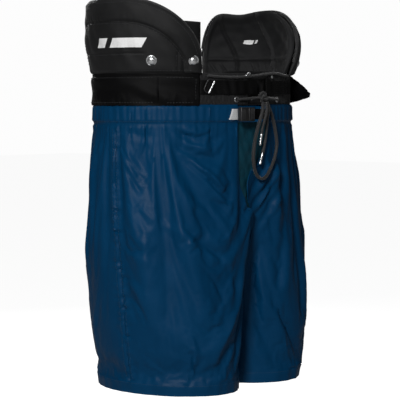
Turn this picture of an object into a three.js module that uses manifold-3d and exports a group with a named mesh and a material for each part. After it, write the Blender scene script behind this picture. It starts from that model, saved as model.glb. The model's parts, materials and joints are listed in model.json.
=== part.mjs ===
// Hockey pants: a padded waist section with kidney pads, and a nylon shell with two legs.
// Millimetres, +Z up, -Y the wearer's front, +X the wearer's left; the origin is the centre of
// the waist opening, half way up the band. Angles round the body are degrees from the front
// centre, positive towards the wearer's right.
import * as THREE from "three";
import { mergeVertices } from "three/addons/utils/BufferGeometryUtils.js";
import Module from "manifold-3d";

const wasm = await Module();
wasm.setup();
const { lerp, clamp, degToRad } = THREE.MathUtils;

// ---- Driving dimensions -------------------------------------------------------------------
const GAP = 0.4; // clearance between neighbours that touch
const STEP = 7.5; // degrees between the corners of every layer, so that layers stay parallel

const WAIST_HALF_WIDTH = 183;
const WAIST_HALF_DEPTH = 128;
const BAND_HEIGHT = 48;
const SEAT_HALF_WIDTH = 194;
const SEAT_HALF_DEPTH = 138;
const SEAT_Z = -190;

const HEM_Z = -454;
const HEM_HEIGHT = 18;
const HEM_HALF_WIDTH = 90; // across one leg
const HEM_HALF_DEPTH = 118;
const HEM_CENTRE_X = 77;
const THIGH_HALF_WIDTH = 101;
const THIGH_HALF_DEPTH = 132;
const THIGH_CENTRE_X = 90;
const LEG_CENTRE_Y = -12;
const LEG_INNER_X = 4; // half of the space between the legs
const LEG_START_Z = -60; // where the one tube starts to turn into two
const LEG_FULL_Z = -400;

const HIP_AXIS_Y = -6; // each leg swings about a line along X through the hips
const HIP_AXIS_Z = -90;
const HIP_RADIUS = 152; // the seam between seat and leg lies on this cylinder about that line
const HIP_GAP = 0.48; // each side of the seam
const CROTCH_Z = HIP_AXIS_Z - HIP_RADIUS;

const NYLON = 2; // shell fabric with its lining
const TUNNEL_HEIGHT = 27;
const TUNNEL_WALL = 3.4;
const WAISTBAND_WALL = 4.4;
const SIDE_BAND_WALL = 3;
const FLAP_ANGLE = 60; // where the free front ends of the side bands are sewn on
const FLAP_END_ANGLE = 37.5;
const FLAP_FLARE = 29; // the left flap stands away from the body by this angle
const FLY_PANEL_END = 15;
const FLY_EDGE_RIGHT = 15;
const FLY_EDGE_LEFT = -7.5;

const KIDNEY_START = 36;
const KIDNEY_END = 135;
const KIDNEY_PEAK = 86; // the pad slopes to the front of this angle and stays high behind it
const KIDNEY_HEIGHT = 109;
const KIDNEY_TIP = 7;
const KIDNEY_COVER = 3;
const KIDNEY_PLATE = 1.8;
const KIDNEY_LINER = 10;
const KIDNEY_GAP = 1.5;
const KIDNEY_BULGE_RIGHT = 8;
const KIDNEY_BULGE_LEFT = 13;
const SPINE_HALF_ANGLE = 42;
const SPINE_HEIGHT = 92;
const SPINE_PAD = 14;
const SNAP_RADIUS = 8;
const SNAP_HEIGHT = 4.6;
const SNAP_Z = 42;
const SNAP_SEAT = 0.9; // how deep a cap is pressed into the cover

const LACE_DIAMETER = 4.8;
const AGLET_LENGTH = 17;
const AGLET_DIAMETER = 4.4;
const BELT_WIDTH = 21;
const BELT_Z = 3;
const STRAP_WIDTH = 16;
const BUCKLE_WIDTH = 21;
const BUCKLE_THICKNESS = 7;
const BUCKLE_CENTRE_Z = -37;
const BUCKLE_SPLIT_X = -37; // where the two halves of the buckle meet
const BUCKLE_TONGUE = 11;

const PAD_WALL = 9; // foam inside the shell
const PLATE_WALL = 2;
const LAYER_GAP = 1.2;

const BAND_TOP = BAND_HEIGHT / 2;
const BAND_BOTTOM = -BAND_HEIGHT / 2;
const TUNNEL_TOP = BAND_BOTTOM - GAP;
const TUNNEL_BOTTOM = TUNNEL_TOP - TUNNEL_HEIGHT;
const LEG_TOP_OF_HEM = HEM_Z + HEM_HEIGHT;

// ---- Finishes -----------------------------------------------------------------------------
const finish = (color, roughness, metalness = 0) =>
  new THREE.MeshStandardMaterial({ color, roughness, metalness });
const navyNylon = () => finish(0x14395c, 0.45);
const tealNylon = () => finish(0x12404f, 0.5);
const blackFabric = () => finish(0x17181a, 0.8);
const blackMesh = () => finish(0x0e0f11, 0.9);
const foam = () => finish(0x3a3d42, 0.95);
const plastic = () => finish(0x202225, 0.5);
const webbing = () => finish(0x121314, 0.75);
const paleWebbing = () => finish(0xb9bcbd, 0.7);
const metal = () => finish(0xc8cacc, 0.25, 0.9);
const cord = () => finish(0x0c0c0d, 0.7);

// ---- The garment's surface ----------------------------------------------------------------
const smooth = (share) => {
  const s = clamp(share, 0, 1);
  return s * s * (3 - 2 * s);
};

// Plan position on the right half: u runs from 0 at the front centre to 1 at the back centre.
function halfSection(u, z) {
  const seat = smooth((BAND_BOTTOM - 10 - z) / (BAND_BOTTOM - 10 - SEAT_Z));
  const a = lerp(WAIST_HALF_WIDTH, SEAT_HALF_WIDTH, seat);
  const b = lerp(WAIST_HALF_DEPTH, SEAT_HALF_DEPTH, seat);
  const down = clamp((CROTCH_Z - z) / (CROTCH_Z - HEM_Z), 0, 1);
  const centre = lerp(THIGH_CENTRE_X, HEM_CENTRE_X, down);
  const p = lerp(THIGH_HALF_WIDTH, HEM_HALF_WIDTH, down);
  const q = lerp(THIGH_HALF_DEPTH, HEM_HALF_DEPTH, down);
  const start = Math.acos((centre - LEG_INNER_X) / p);
  const turn = start + (2 * Math.PI - 2 * start) * u;
  const leg = smooth((LEG_START_Z - z) / (LEG_START_Z - LEG_FULL_Z));
  return new THREE.Vector2(
    lerp(-a * Math.sin(Math.PI * u), -centre + p * Math.cos(turn), leg),
    lerp(-b * Math.cos(Math.PI * u), LEG_CENTRE_Y - q * Math.sin(turn), leg),
  );
}

// A point of the garment at an angle and a height, moved out by an offset, and its normal there.
function surface(angle, z, offset = 0) {
  const wrapped = angle > 180 ? angle - 360 : angle;
  const side = wrapped < 0 ? -1 : 1;
  const u = Math.abs(wrapped) / 180;
  const e = 1e-3;
  const at = halfSection(u, z);
  const along = halfSection(u + e, z).sub(halfSection(u - e, z)).normalize();
  const normal = new THREE.Vector3(-along.y * side, along.x, 0);
  const point = new THREE.Vector3(at.x * side, at.y, z).addScaledVector(normal, offset);
  return { point, normal };
}

// The height at which a layer meets the hip cylinder, which the leg clears as it swings.
function hipSeam(angle, offset, radius) {
  let z = CROTCH_Z;
  for (let i = 0; i < 40; i++) {
    const y = surface(angle, z, offset).point.y - HIP_AXIS_Y;
    z = lerp(z, HIP_AXIS_Z - Math.sqrt(Math.max(radius * radius - y * y, 1)), 0.5);
  }
  return z;
}
const seatEdge = (angle, offset) => hipSeam(angle, offset, HIP_RADIUS - HIP_GAP);
const legEdge = (angle, offset) => hipSeam(angle, offset, HIP_RADIUS + HIP_GAP);

// ---- Geometry helpers ---------------------------------------------------------------------
function welded(geometry) {
  geometry.deleteAttribute("normal");
  geometry.deleteAttribute("uv");
  return mergeVertices(geometry, 1e-4);
}

function facedOut(geometry) {
  const position = geometry.attributes.position;
  const index = geometry.index.array;
  const [a, b, c] = [0, 1, 2].map(() => new THREE.Vector3());
  let volume = 0;
  for (let i = 0; i < index.length; i += 3) {
    a.fromBufferAttribute(position, index[i]);
    b.fromBufferAttribute(position, index[i + 1]);
    c.fromBufferAttribute(position, index[i + 2]);
    volume += a.dot(b.cross(c));
  }
  if (volume < 0) {
    for (let i = 0; i < index.length; i += 3) {
      [index[i + 1], index[i + 2]] = [index[i + 2], index[i + 1]];
    }
  }
  geometry.computeVertexNormals();
  return geometry;
}

// A box whose every corner is moved by place(x, y, z), each of them from 0 to 1.
function bentBox(nx, nz, place) {
  const geometry = welded(new THREE.BoxGeometry(1, 1, 1, nx, 1, nz));
  const position = geometry.attributes.position;
  for (let i = 0; i < position.count; i++) {
    const at = place(position.getX(i) + 0.5, position.getY(i) + 0.5, position.getZ(i) + 0.5);
    position.setXYZ(i, at.x, at.y, at.z);
  }
  return facedOut(geometry);
}

// A curved layer of the garment between two angles, two offsets and two edges.
function layer({ from, to, inner, outer, low, high, rows = 1, swell = () => 0 }) {
  const edge = (value, angle, offset) =>
    typeof value === "function" ? value(angle, offset) : value;
  const corners = [from];
  for (let k = Math.floor(from / STEP) + 1; k * STEP < to - 0.5; k++) {
    if (k * STEP > from + 0.5) corners.push(k * STEP);
  }
  corners.push(to);
  const columns = corners.length - 1;
  return bentBox(columns, rows, (x, y, z) => {
    const angle = corners[Math.round(x * columns)];
    const offset = lerp(inner, outer, y);
    const height = lerp(edge(low, angle, offset), edge(high, angle, offset), z);
    return surface(angle, height, offset + swell(height)).point;
  });
}

// The same layer on the other side of the body.
const mirrored = (options) => ({
  ...options,
  from: -options.to,
  to: -options.from,
});

function tube(points, diameter, steps, sides = 8) {
  const curve = new THREE.CatmullRomCurve3(points.map((at) => new THREE.Vector3(...at)));
  const section = new THREE.Shape();
  for (let k = 0; k < sides; k++) {
    const turn = (2 * Math.PI * k) / sides;
    const x = (Math.cos(turn) * diameter) / 2;
    const y = (Math.sin(turn) * diameter) / 2;
    if (k === 0) section.moveTo(x, y);
    else section.lineTo(x, y);
  }
  const geometry = new THREE.ExtrudeGeometry(section, { steps, extrudePath: curve });
  return facedOut(welded(geometry));
}

function block(x0, x1, y0, y1, z0, z1) {
  const geometry = new THREE.BoxGeometry(x1 - x0, y1 - y0, z1 - z0);
  geometry.translate((x0 + x1) / 2, (y0 + y1) / 2, (z0 + z1) / 2);
  return welded(geometry);
}

function solid(geometry) {
  return new wasm.Manifold(
    new wasm.Mesh({
      numProp: 3,
      vertProperties: geometry.attributes.position.array,
      triVerts: new Uint32Array(geometry.index.array),
    }),
  );
}

function geometryOf(body) {
  const mesh = body.getMesh();
  const geometry = new THREE.BufferGeometry();
  geometry.setAttribute("position", new THREE.BufferAttribute(mesh.vertProperties, 3));
  geometry.setIndex(new THREE.BufferAttribute(mesh.triVerts, 1));
  geometry.computeVertexNormals();
  return geometry;
}

const group = new THREE.Group();
function add(name, geometry, material) {
  const mesh = new THREE.Mesh(geometry, material);
  mesh.name = name;
  group.add(mesh);
  return mesh;
}

// Stands a piece turned about Y on the garment, its foot a gap above the surface.
function seatOn(mesh, { point, normal }, gap = GAP) {
  mesh.position.copy(point).addScaledVector(normal, gap);
  mesh.quaternion.setFromUnitVectors(new THREE.Vector3(0, 1, 0), normal);
}

// ---- Waist section ------------------------------------------------------------------------
const bandLayer = {
  inner: -GAP - WAISTBAND_WALL,
  outer: -GAP,
  low: BAND_BOTTOM,
  high: BAND_TOP,
};
const waistband = { ...bandLayer, from: FLAP_END_ANGLE, to: 179.8 };
add("waistband_right", layer(waistband), blackFabric());
add("waistband_left", layer(mirrored(waistband)), blackFabric());

const sideBand = {
  from: FLAP_ANGLE,
  to: 179.8,
  inner: 0,
  outer: SIDE_BAND_WALL,
  low: BAND_BOTTOM,
  high: BAND_TOP,
};
add("side_band_right", layer(sideBand), blackFabric());
add("side_band_left", layer(mirrored(sideBand)), blackFabric());

const flap = { ...sideBand, from: FLAP_END_ANGLE, to: FLAP_ANGLE - 0.3 };
add("front_flap_right", layer(flap), blackFabric());

// The left flap is bent outwards along its seam and tapers to a low tip.
const flapSeam = surface(-FLAP_ANGLE + 0.9, 0, 0);
const flapTip = surface(-FLAP_END_ANGLE, 0, 0);
const flapReach = flapTip.point.clone().sub(flapSeam.point);
const flapOut = new THREE.Vector3(-flapReach.y, flapReach.x, 0).normalize().negate();
flapOut.multiplyScalar(Math.sign(flapOut.dot(flapSeam.normal)));
const flare = degToRad(FLAP_FLARE);
const flapAlong = flapReach.clone().multiplyScalar(Math.cos(flare));
flapAlong.addScaledVector(flapOut, flapReach.length() * Math.sin(flare));
const flapNormal = new THREE.Vector3(-flapAlong.y, flapAlong.x, 0).normalize();
flapNormal.multiplyScalar(Math.sign(flapNormal.dot(flapSeam.normal)));
const flapLeft = bentBox(3, 1, (x, y, z) => {
  const low = lerp(BAND_BOTTOM + 3, BAND_BOTTOM + 13, x);
  const high = lerp(BAND_TOP, BAND_TOP - 29, x);
  return flapSeam.point
    .clone()
    .addScaledVector(flapAlong, x)
    .addScaledVector(flapNormal, y * SIDE_BAND_WALL)
    .setZ(lerp(low, high, z));
});
add("front_flap_left", flapLeft, blackFabric());

const flyPanel = { ...bandLayer, from: FLY_PANEL_END - 7.5, to: FLAP_END_ANGLE - 0.3 };
add("fly_panel_right", layer(flyPanel), blackMesh());
add("fly_panel_left", layer(mirrored(flyPanel)), blackMesh());
const tongueOuter = bandLayer.inner - 2 * GAP;
const tongue = {
  from: -22.5,
  to: 22.5,
  inner: tongueOuter - 3,
  outer: tongueOuter,
  low: BAND_BOTTOM + 2,
  high: BAND_TOP + 4,
};
add("fly_tongue", layer(tongue), blackFabric());

const belt = {
  from: 2,
  to: FLAP_END_ANGLE - 0.4,
  inner: GAP,
  outer: GAP + 1.6,
  low: BELT_Z - BELT_WIDTH / 2,
  high: BELT_Z + BELT_WIDTH / 2,
};
add("belt_webbing_right", layer(belt), webbing());
add("belt_webbing_left", layer(mirrored(belt)), webbing());
const tab = {
  from: -7.2,
  to: -3.6,
  inner: belt.outer + GAP,
  outer: belt.outer + GAP + 1.6,
  low: -8,
  high: 17,
};
add("belt_tab", layer(tab), webbing());

// The bar that the belt's free end is turned over, lying at a slant across the webbing.
const barAt = surface(31, BELT_Z, belt.outer + GAP + 1.5);
const bar = welded(new THREE.CylinderGeometry(1.5, 1.5, 20, 10));
const barMesh = add("belt_slider_bar", bar, metal());
const barAcross = new THREE.Vector3(-barAt.normal.y, barAt.normal.x, 0);
const barLine = new THREE.Vector3(0, 0, 1).addScaledVector(barAcross, 0.55).normalize();
barMesh.position.copy(barAt.point);
barMesh.quaternion.setFromUnitVectors(new THREE.Vector3(0, 1, 0), barLine);

const EYELET_ANGLE = 18.75;

// ---- Lace ---------------------------------------------------------------------------------
const LACE_Y = -136.5;
const KNOT = [-4, -139, -11];
const topCord = [
  [33, 20], [24, 18.5], [14, 18.5], [4, 21], [-6, 24], [-14, 25], [-26, 22],
].map(([angle, z]) => surface(angle, z, LACE_DIAMETER / 2).point.toArray());
add("lace_top_run", tube(topCord, LACE_DIAMETER - 0.8, 24), cord());
for (const [name, side] of [["right", 1], ["left", -1]]) {
  const start = surface(side * (EYELET_ANGLE - 3), -15, 2.2).point.toArray();
  const end = [KNOT[0] - side * 8.7, KNOT[1] + 1, KNOT[2] - 1];
  const middle = start.map((value, i) => (value + end[i]) / 2);
  middle[1] -= 1;
  add("lace_run_" + name, tube([start, middle, end], LACE_DIAMETER - 0.8, 6), cord());
}
const knot = welded(new THREE.TorusKnotGeometry(4.6, 1.9, 28, 6, 2, 3));
knot.rotateX(Math.PI / 2);
knot.translate(...KNOT);
add("lace_knot", knot, cord());

const loopRoute = [
  [-8, -141, -18.9], [-12, -144, -30], [-17, -144, -43], [-20.5, -142.5, -55], [-23, -138, -76],
  [-25, LACE_Y, -104], [-20, LACE_Y, -124], [-8, LACE_Y, -134], [6, LACE_Y, -132],
  [18, LACE_Y, -119], [28, LACE_Y, -103], [33, LACE_Y, -84], [29, LACE_Y, -62],
  [22, LACE_Y, -42], [12, -138, -28], [3, -139.5, -18.9],
];
add("lace_loop", tube(loopRoute, LACE_DIAMETER, 44), cord());
const longEnd = [
  [0, -143, -18.9], [3.5, -143.5, -30], [6, -139, -44], [7, LACE_Y, -62], [2, LACE_Y, -84], [-3, LACE_Y, -97],
];
const shortEnd = [
  [-5, -145.6, -18.9], [-4.5, -146, -31], [-7, -143.5, -46], [-9.5, -141.5, -58], [-11, -141, -67],
];
function endWithAglet(name, route) {
  add("lace_end_" + name, tube(route, LACE_DIAMETER, 12), cord());
  const last = new THREE.Vector3(...route[route.length - 1]);
  const before = new THREE.Vector3(...route[route.length - 2]);
  const along = last.clone().sub(before).normalize();
  const r = AGLET_DIAMETER / 2;
  const aglet = welded(new THREE.CylinderGeometry(r, r, AGLET_LENGTH, 10));
  const mesh = add("aglet_" + name, aglet, metal());
  mesh.position.copy(last).addScaledVector(along, AGLET_LENGTH / 2 + GAP);
  mesh.quaternion.setFromUnitVectors(new THREE.Vector3(0, 1, 0), along);
}
endWithAglet("long", longEnd);
endWithAglet("short", shortEnd);

// ---- Kidney pads and spine pad ------------------------------------------------------------
function kidneyTop(angle) {
  const behind = Math.abs(angle) - KIDNEY_PEAK;
  const reach = behind > 0 ? KIDNEY_END - KIDNEY_PEAK : KIDNEY_PEAK - KIDNEY_START;
  const out = Math.min(Math.abs(behind) / reach, 1);
  const share = behind > 0 ? Math.sqrt(1 - out ** 12) : Math.pow(1 - out ** 2.5, 0.55);
  return BAND_TOP + GAP + lerp(KIDNEY_TIP, KIDNEY_HEIGHT, share);
}
const kidneyShell = {
  from: KIDNEY_START,
  to: KIDNEY_END,
  inner: SIDE_BAND_WALL - KIDNEY_COVER,
  outer: SIDE_BAND_WALL,
  low: BAND_TOP + GAP,
  high: kidneyTop,
  rows: 5,
};
// How far each pad bows out at a height: the left one more, and its top leans in.
const kidneyShare = (z) => (z - BAND_TOP) / KIDNEY_HEIGHT;
const kidneySwell = {
  right: (z) => KIDNEY_BULGE_RIGHT * Math.sin(Math.PI * kidneyShare(z) * 0.75),
  left: (z) => KIDNEY_BULGE_LEFT * Math.sin(Math.PI * kidneyShare(z)) - 11 * kidneyShare(z) ** 2,
};
const under = (above, wall, inset) => ({
  ...above,
  from: above.from + inset,
  to: above.to - inset,
  inner: above.inner - KIDNEY_GAP - wall,
  outer: above.inner - KIDNEY_GAP,
  high: (angle) => Math.max(kidneyTop(angle) - inset, above.low + 4),
});
const kidneyPlate = under(kidneyShell, KIDNEY_PLATE, 7.5);
const kidneyLiner = { ...under(kidneyPlate, KIDNEY_LINER, 0), from: KIDNEY_START, to: KIDNEY_END };
kidneyLiner.high = kidneyTop;
const snapProfile = [
  [0, 0], [SNAP_RADIUS, 0], [SNAP_RADIUS, 1.3], [SNAP_RADIUS * 0.8, SNAP_HEIGHT * 0.66],
  [SNAP_RADIUS * 0.42, SNAP_HEIGHT * 0.93], [0, SNAP_HEIGHT],
].map((xy) => new THREE.Vector2(...xy));

// The cover with a flat seat pressed into it under each snap cap.
function pressedFlat(geometry, caps) {
  let body = solid(geometry);
  for (const cap of caps) {
    const radius = SNAP_RADIUS + GAP;
    const seat = new THREE.CylinderGeometry(radius, radius, 12, 14);
    seat.translate(0, 6 - GAP, 0);
    cap.updateMatrix();
    body = body.subtract(solid(facedOut(welded(seat.applyMatrix4(cap.matrix)))));
  }
  return geometryOf(body);
}

for (const [name, side] of [["right", 1], ["left", -1]]) {
  const place = side > 0 ? (options) => options : mirrored;
  const swell = kidneySwell[name];
  const pieces = [
    ["kidney_cover_", kidneyShell, blackFabric()],
    ["kidney_plate_", kidneyPlate, plastic()],
    ["kidney_liner_", kidneyLiner, blackMesh()],
  ];
  const caps = [["front", 41.25], ["rear", 63.75]].map(([at, angle]) => {
    const cap = new THREE.Mesh(facedOut(welded(new THREE.LatheGeometry(snapProfile, 14))), metal());
    cap.name = `snap_cap_${at}_${name}`;
    const foot = surface(side * angle, SNAP_Z, kidneyShell.outer + swell(SNAP_Z) - SNAP_SEAT);
    const rise = (swell(SNAP_Z + SNAP_RADIUS) - swell(SNAP_Z - SNAP_RADIUS)) / (2 * SNAP_RADIUS);
    foot.normal.setZ(-rise).normalize();
    seatOn(cap, foot, 0);
    group.add(cap);
    return cap;
  });
  for (const [piece, options, material] of pieces) {
    let geometry = layer(place({ ...options, swell }));
    if (piece === "kidney_cover_") geometry = pressedFlat(geometry, caps);
    add(piece + name, geometry, material);
  }
}

const spineTop = (angle) => {
  const out = Math.abs(angle - 180) / SPINE_HALF_ANGLE;
  return BAND_TOP + GAP + SPINE_HEIGHT * (1 - 0.12 * out ** 3);
};
const spinePad = {
  from: 180 - SPINE_HALF_ANGLE,
  to: 180 + SPINE_HALF_ANGLE,
  inner: SIDE_BAND_WALL - SPINE_PAD,
  outer: SIDE_BAND_WALL,
  low: BAND_TOP + GAP,
  high: spineTop,
  rows: 3,
};
add("spine_pad", layer(spinePad), blackFabric());

// ---- Shell, seat part ---------------------------------------------------------------------
const tunnel = {
  to: 179.8,
  inner: 0.8 - TUNNEL_WALL,
  outer: 0.8,
  low: TUNNEL_BOTTOM,
  high: TUNNEL_TOP,
};
add("shell_tunnel_right", layer({ ...tunnel, from: FLY_EDGE_RIGHT }), navyNylon());
add("shell_tunnel_left", layer(mirrored({ ...tunnel, from: -FLY_EDGE_LEFT })), navyNylon());

const seatPanel = {
  inner: -NYLON,
  outer: 0,
  low: seatEdge,
  high: TUNNEL_BOTTOM - GAP,
  rows: 4,
};
const frontRight = { ...seatPanel, from: FLY_EDGE_RIGHT, to: 89.8 };
const frontLeft = { ...seatPanel, from: -FLY_EDGE_LEFT, to: 89.8 };
const seatBack = { ...seatPanel, from: 90.2, to: 179.8 };
add("shell_seat_front_right", layer(frontRight), navyNylon());
add("shell_seat_front_left", layer(mirrored(frontLeft)), navyNylon());
add("shell_seat_back_right", layer(seatBack), navyNylon());
add("shell_seat_back_left", layer(mirrored(seatBack)), navyNylon());

const gussetOuter = -NYLON - LAYER_GAP;
const flyGusset = {
  from: FLY_EDGE_LEFT - STEP,
  to: FLY_EDGE_RIGHT + STEP,
  inner: gussetOuter - NYLON,
  outer: gussetOuter,
  low: seatEdge,
  high: TUNNEL_BOTTOM - GAP,
  rows: 4,
};
add("fly_gusset", layer(flyGusset), tealNylon());

// A strip round the bottom of the hip cylinder joins the front and the back of the seat.
const gussetRadius = HIP_RADIUS - HIP_GAP - GAP;
const gussetFront = surface(0, seatEdge(0, flyGusset.inner), flyGusset.inner).point.y + GAP;
const gussetBack = surface(179.8, seatEdge(179.8, -NYLON), -NYLON).point.y - GAP;
const CROTCH_STRIP = 44;
const crotchStrip = bentBox(14, 1, (x, y, z) => {
  const along = lerp(gussetFront, gussetBack, x) - HIP_AXIS_Y;
  const radius = gussetRadius - NYLON * y;
  const height = HIP_AXIS_Z - Math.sqrt(radius * radius - along * along);
  return new THREE.Vector3(lerp(-0.5, 0.5, z) * CROTCH_STRIP, along + HIP_AXIS_Y, height);
});
add("crotch_gusset", crotchStrip, navyNylon());

// ---- Shell belt and its buckle ------------------------------------------------------------
const strapBack = surface(FLY_EDGE_RIGHT, BUCKLE_CENTRE_Z, tunnel.outer).point.y - GAP;
const buckleBack = strapBack - 1.5 - GAP;
const strapZ = [BUCKLE_CENTRE_Z - STRAP_WIDTH / 2, BUCKLE_CENTRE_Z + STRAP_WIDTH / 2];
const buckleZ = [BUCKLE_CENTRE_Z - BUCKLE_WIDTH / 2, BUCKLE_CENTRE_Z + BUCKLE_WIDTH / 2];
const strapRight = {
  from: 16,
  to: 30,
  inner: tunnel.outer + GAP,
  outer: tunnel.outer + GAP + 1.5,
  low: strapZ[0],
  high: strapZ[1],
};
add("shell_strap_right", layer(strapRight), paleWebbing());
const strapLeft = mirrored({ ...strapRight, from: -8, to: 22.5 });
add("shell_strap_left", layer(strapLeft), webbing());

const BUCKLE_BACK_Y = surface(STEP / 2, BUCKLE_CENTRE_Z, strapRight.outer + 0.1).point.y;
const buckleY = [BUCKLE_BACK_Y - BUCKLE_THICKNESS, BUCKLE_BACK_Y];
const FEMALE_LENGTH = 18;
const female = solid(
  block(BUCKLE_SPLIT_X - FEMALE_LENGTH, BUCKLE_SPLIT_X, ...buckleY, ...buckleZ),
);
const slotWall = 1.8;
const slot = solid(
  block(
    BUCKLE_SPLIT_X - BUCKLE_TONGUE - 1,
    BUCKLE_SPLIT_X + 1,
    buckleY[0] + slotWall,
    buckleY[1] - slotWall,
    buckleZ[0] + slotWall,
    buckleZ[1] - slotWall,
  ),
);
add("buckle_female", geometryOf(female.subtract(slot)), plastic());
const MALE_LENGTH = 15;
const maleBody = solid(
  block(BUCKLE_SPLIT_X + GAP, BUCKLE_SPLIT_X + MALE_LENGTH, ...buckleY, ...buckleZ),
);
const tongueClear = slotWall + 0.5;
const maleTongue = solid(
  block(
    BUCKLE_SPLIT_X - BUCKLE_TONGUE,
    BUCKLE_SPLIT_X + GAP + 1,
    buckleY[0] + tongueClear,
    buckleY[1] - tongueClear,
    buckleZ[0] + tongueClear,
    buckleZ[1] - tongueClear,
  ),
);
add("buckle_male", geometryOf(maleBody.add(maleTongue)), plastic());

// ---- Pads inside the seat -----------------------------------------------------------------
const insideShell = { outer: -NYLON - LAYER_GAP, inner: -NYLON - LAYER_GAP - PAD_WALL };
const hipPad = { ...insideShell, from: 60, to: 120, low: -195, high: -60, rows: 3 };
add("hip_pad_right", layer(hipPad), foam());
add("hip_pad_left", layer(mirrored(hipPad)), foam());
const tailbonePad = { ...insideShell, from: 157.5, to: 202.5, low: -140, high: -58, rows: 4 };
tailbonePad.outer -= GAP;
add("tailbone_pad", layer(tailbonePad), foam());

// ---- Legs ---------------------------------------------------------------------------------
const legPanel = { inner: -NYLON, outer: 0, low: LEG_TOP_OF_HEM + GAP, high: legEdge, rows: 6 };
const legFront = { ...legPanel, from: 0.4, to: 89.8 };
const legBack = { ...legPanel, from: 90.2, to: 179.6 };
const thighPlate = {
  from: 30,
  to: 82.5,
  outer: -NYLON - LAYER_GAP,
  inner: -NYLON - LAYER_GAP - PLATE_WALL,
  low: -392,
  high: (angle, offset) => legEdge(angle, offset) - 14,
  rows: 4,
};
const thighPad = {
  ...thighPlate,
  from: 22.5,
  to: 90,
  outer: thighPlate.inner - LAYER_GAP,
  inner: thighPlate.inner - LAYER_GAP - PAD_WALL,
  low: -400,
  high: (angle, offset) => legEdge(angle, offset) - 8,
};

// The flat panel between the legs, from the front panel's edge to the back panel's.
function innerPanel(side) {
  const bottom = LEG_TOP_OF_HEM + GAP;
  const radius = HIP_RADIUS + HIP_GAP + GAP;
  const edgeY = (angle, z) => surface(angle, z, -NYLON).point.y;
  const [frontSeam, backSeam] = [0.4, 179.6].map((angle) => hipSeam(angle, -NYLON, radius));
  const frontTop = edgeY(0.4, frontSeam) + LAYER_GAP;
  const backTop = edgeY(179.6, backSeam) - LAYER_GAP;
  return bentBox(14, 6, (x, y, z) => {
    const away = lerp(frontTop, backTop, x) - HIP_AXIS_Y;
    const top = HIP_AXIS_Z - Math.sqrt(radius * radius - away * away);
    const height = lerp(bottom, top, z);
    const front = edgeY(0.4, lerp(bottom, frontSeam, z)) + LAYER_GAP;
    const back = edgeY(179.6, lerp(bottom, backSeam, z)) - LAYER_GAP;
    const inside = -halfSection(0, height).x + GAP;
    return new THREE.Vector3(-side * (inside + NYLON * y), lerp(front, back, x), height);
  });
}

// The turned-up edge of a leg: a closed band right round it.
function hemBand(side) {
  const outline = (offset) => {
    const points = [];
    for (let angle = 0; angle <= 180; angle += STEP) {
      const { point } = surface(side * Math.max(angle, 0.01), LEG_TOP_OF_HEM, offset);
      points.push(new THREE.Vector2(point.x, point.y));
    }
    return points;
  };
  const shape = new THREE.Shape(outline(0));
  shape.holes.push(new THREE.Path(outline(-NYLON - 0.4).reverse()));
  const geometry = new THREE.ExtrudeGeometry(shape, { depth: HEM_HEIGHT, bevelEnabled: false });
  geometry.translate(0, 0, HEM_Z);
  return facedOut(welded(geometry));
}

for (const [name, side] of [["right", 1], ["left", -1]]) {
  const place = side > 0 ? (options) => options : mirrored;
  add("leg_front_" + name, layer(place(legFront)), navyNylon());
  add("leg_back_" + name, layer(place(legBack)), navyNylon());
  add("leg_inner_" + name, innerPanel(side), navyNylon());
  add("leg_hem_" + name, hemBand(side), navyNylon());
  add("thigh_plate_" + name, layer(place(thighPlate)), plastic());
  add("thigh_pad_" + name, layer(place(thighPad)), foam());
}

export default group;
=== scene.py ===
"""Hockey pants: a padded waist section with kidney pads, and a laced, buckled nylon shell with two legs."""
import json
import logging
import math
from dataclasses import dataclass
from enum import Enum
from typing import Callable, Optional, Sequence

import bmesh
import bpy
import numpy as np
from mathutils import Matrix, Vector
from mathutils.bvhtree import BVHTree

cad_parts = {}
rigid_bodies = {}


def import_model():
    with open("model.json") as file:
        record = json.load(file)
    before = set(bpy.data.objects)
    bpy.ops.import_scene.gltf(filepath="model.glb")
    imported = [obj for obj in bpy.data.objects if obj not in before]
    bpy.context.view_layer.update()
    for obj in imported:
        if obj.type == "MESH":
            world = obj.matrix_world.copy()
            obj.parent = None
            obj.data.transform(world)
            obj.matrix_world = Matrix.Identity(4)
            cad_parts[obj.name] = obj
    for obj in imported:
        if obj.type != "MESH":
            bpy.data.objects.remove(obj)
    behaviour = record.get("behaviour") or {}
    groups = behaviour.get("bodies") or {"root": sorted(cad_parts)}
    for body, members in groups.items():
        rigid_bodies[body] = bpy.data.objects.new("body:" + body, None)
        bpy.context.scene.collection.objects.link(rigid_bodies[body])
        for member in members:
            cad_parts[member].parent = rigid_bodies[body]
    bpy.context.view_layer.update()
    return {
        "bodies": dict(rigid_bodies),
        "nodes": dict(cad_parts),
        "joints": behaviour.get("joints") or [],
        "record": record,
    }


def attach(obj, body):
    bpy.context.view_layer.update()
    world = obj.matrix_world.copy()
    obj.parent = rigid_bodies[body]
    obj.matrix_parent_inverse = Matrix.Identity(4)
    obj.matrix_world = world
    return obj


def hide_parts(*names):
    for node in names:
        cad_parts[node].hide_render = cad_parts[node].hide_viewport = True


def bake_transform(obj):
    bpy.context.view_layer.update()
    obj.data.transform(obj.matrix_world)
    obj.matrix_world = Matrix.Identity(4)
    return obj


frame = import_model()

LOG = logging.getLogger("hockey_pants")
Array = np.ndarray
Place = Callable[[Array, Array, Array], Array]


class Side(Enum):
    """The wearer's side: its name, and the sign of an angle on that side."""

    RIGHT = ("right", 1)
    LEFT = ("left", -1)

    @property
    def label(self) -> str:
        """The word used in the names of pieces."""
        return self.value[0]

    @property
    def sign(self) -> int:
        """Plus one on the wearer's right, where angles are positive."""
        return self.value[1]

    @property
    def leg(self) -> str:
        """The body that carries this side's leg."""
        return f"{self.label}_leg"


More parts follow.
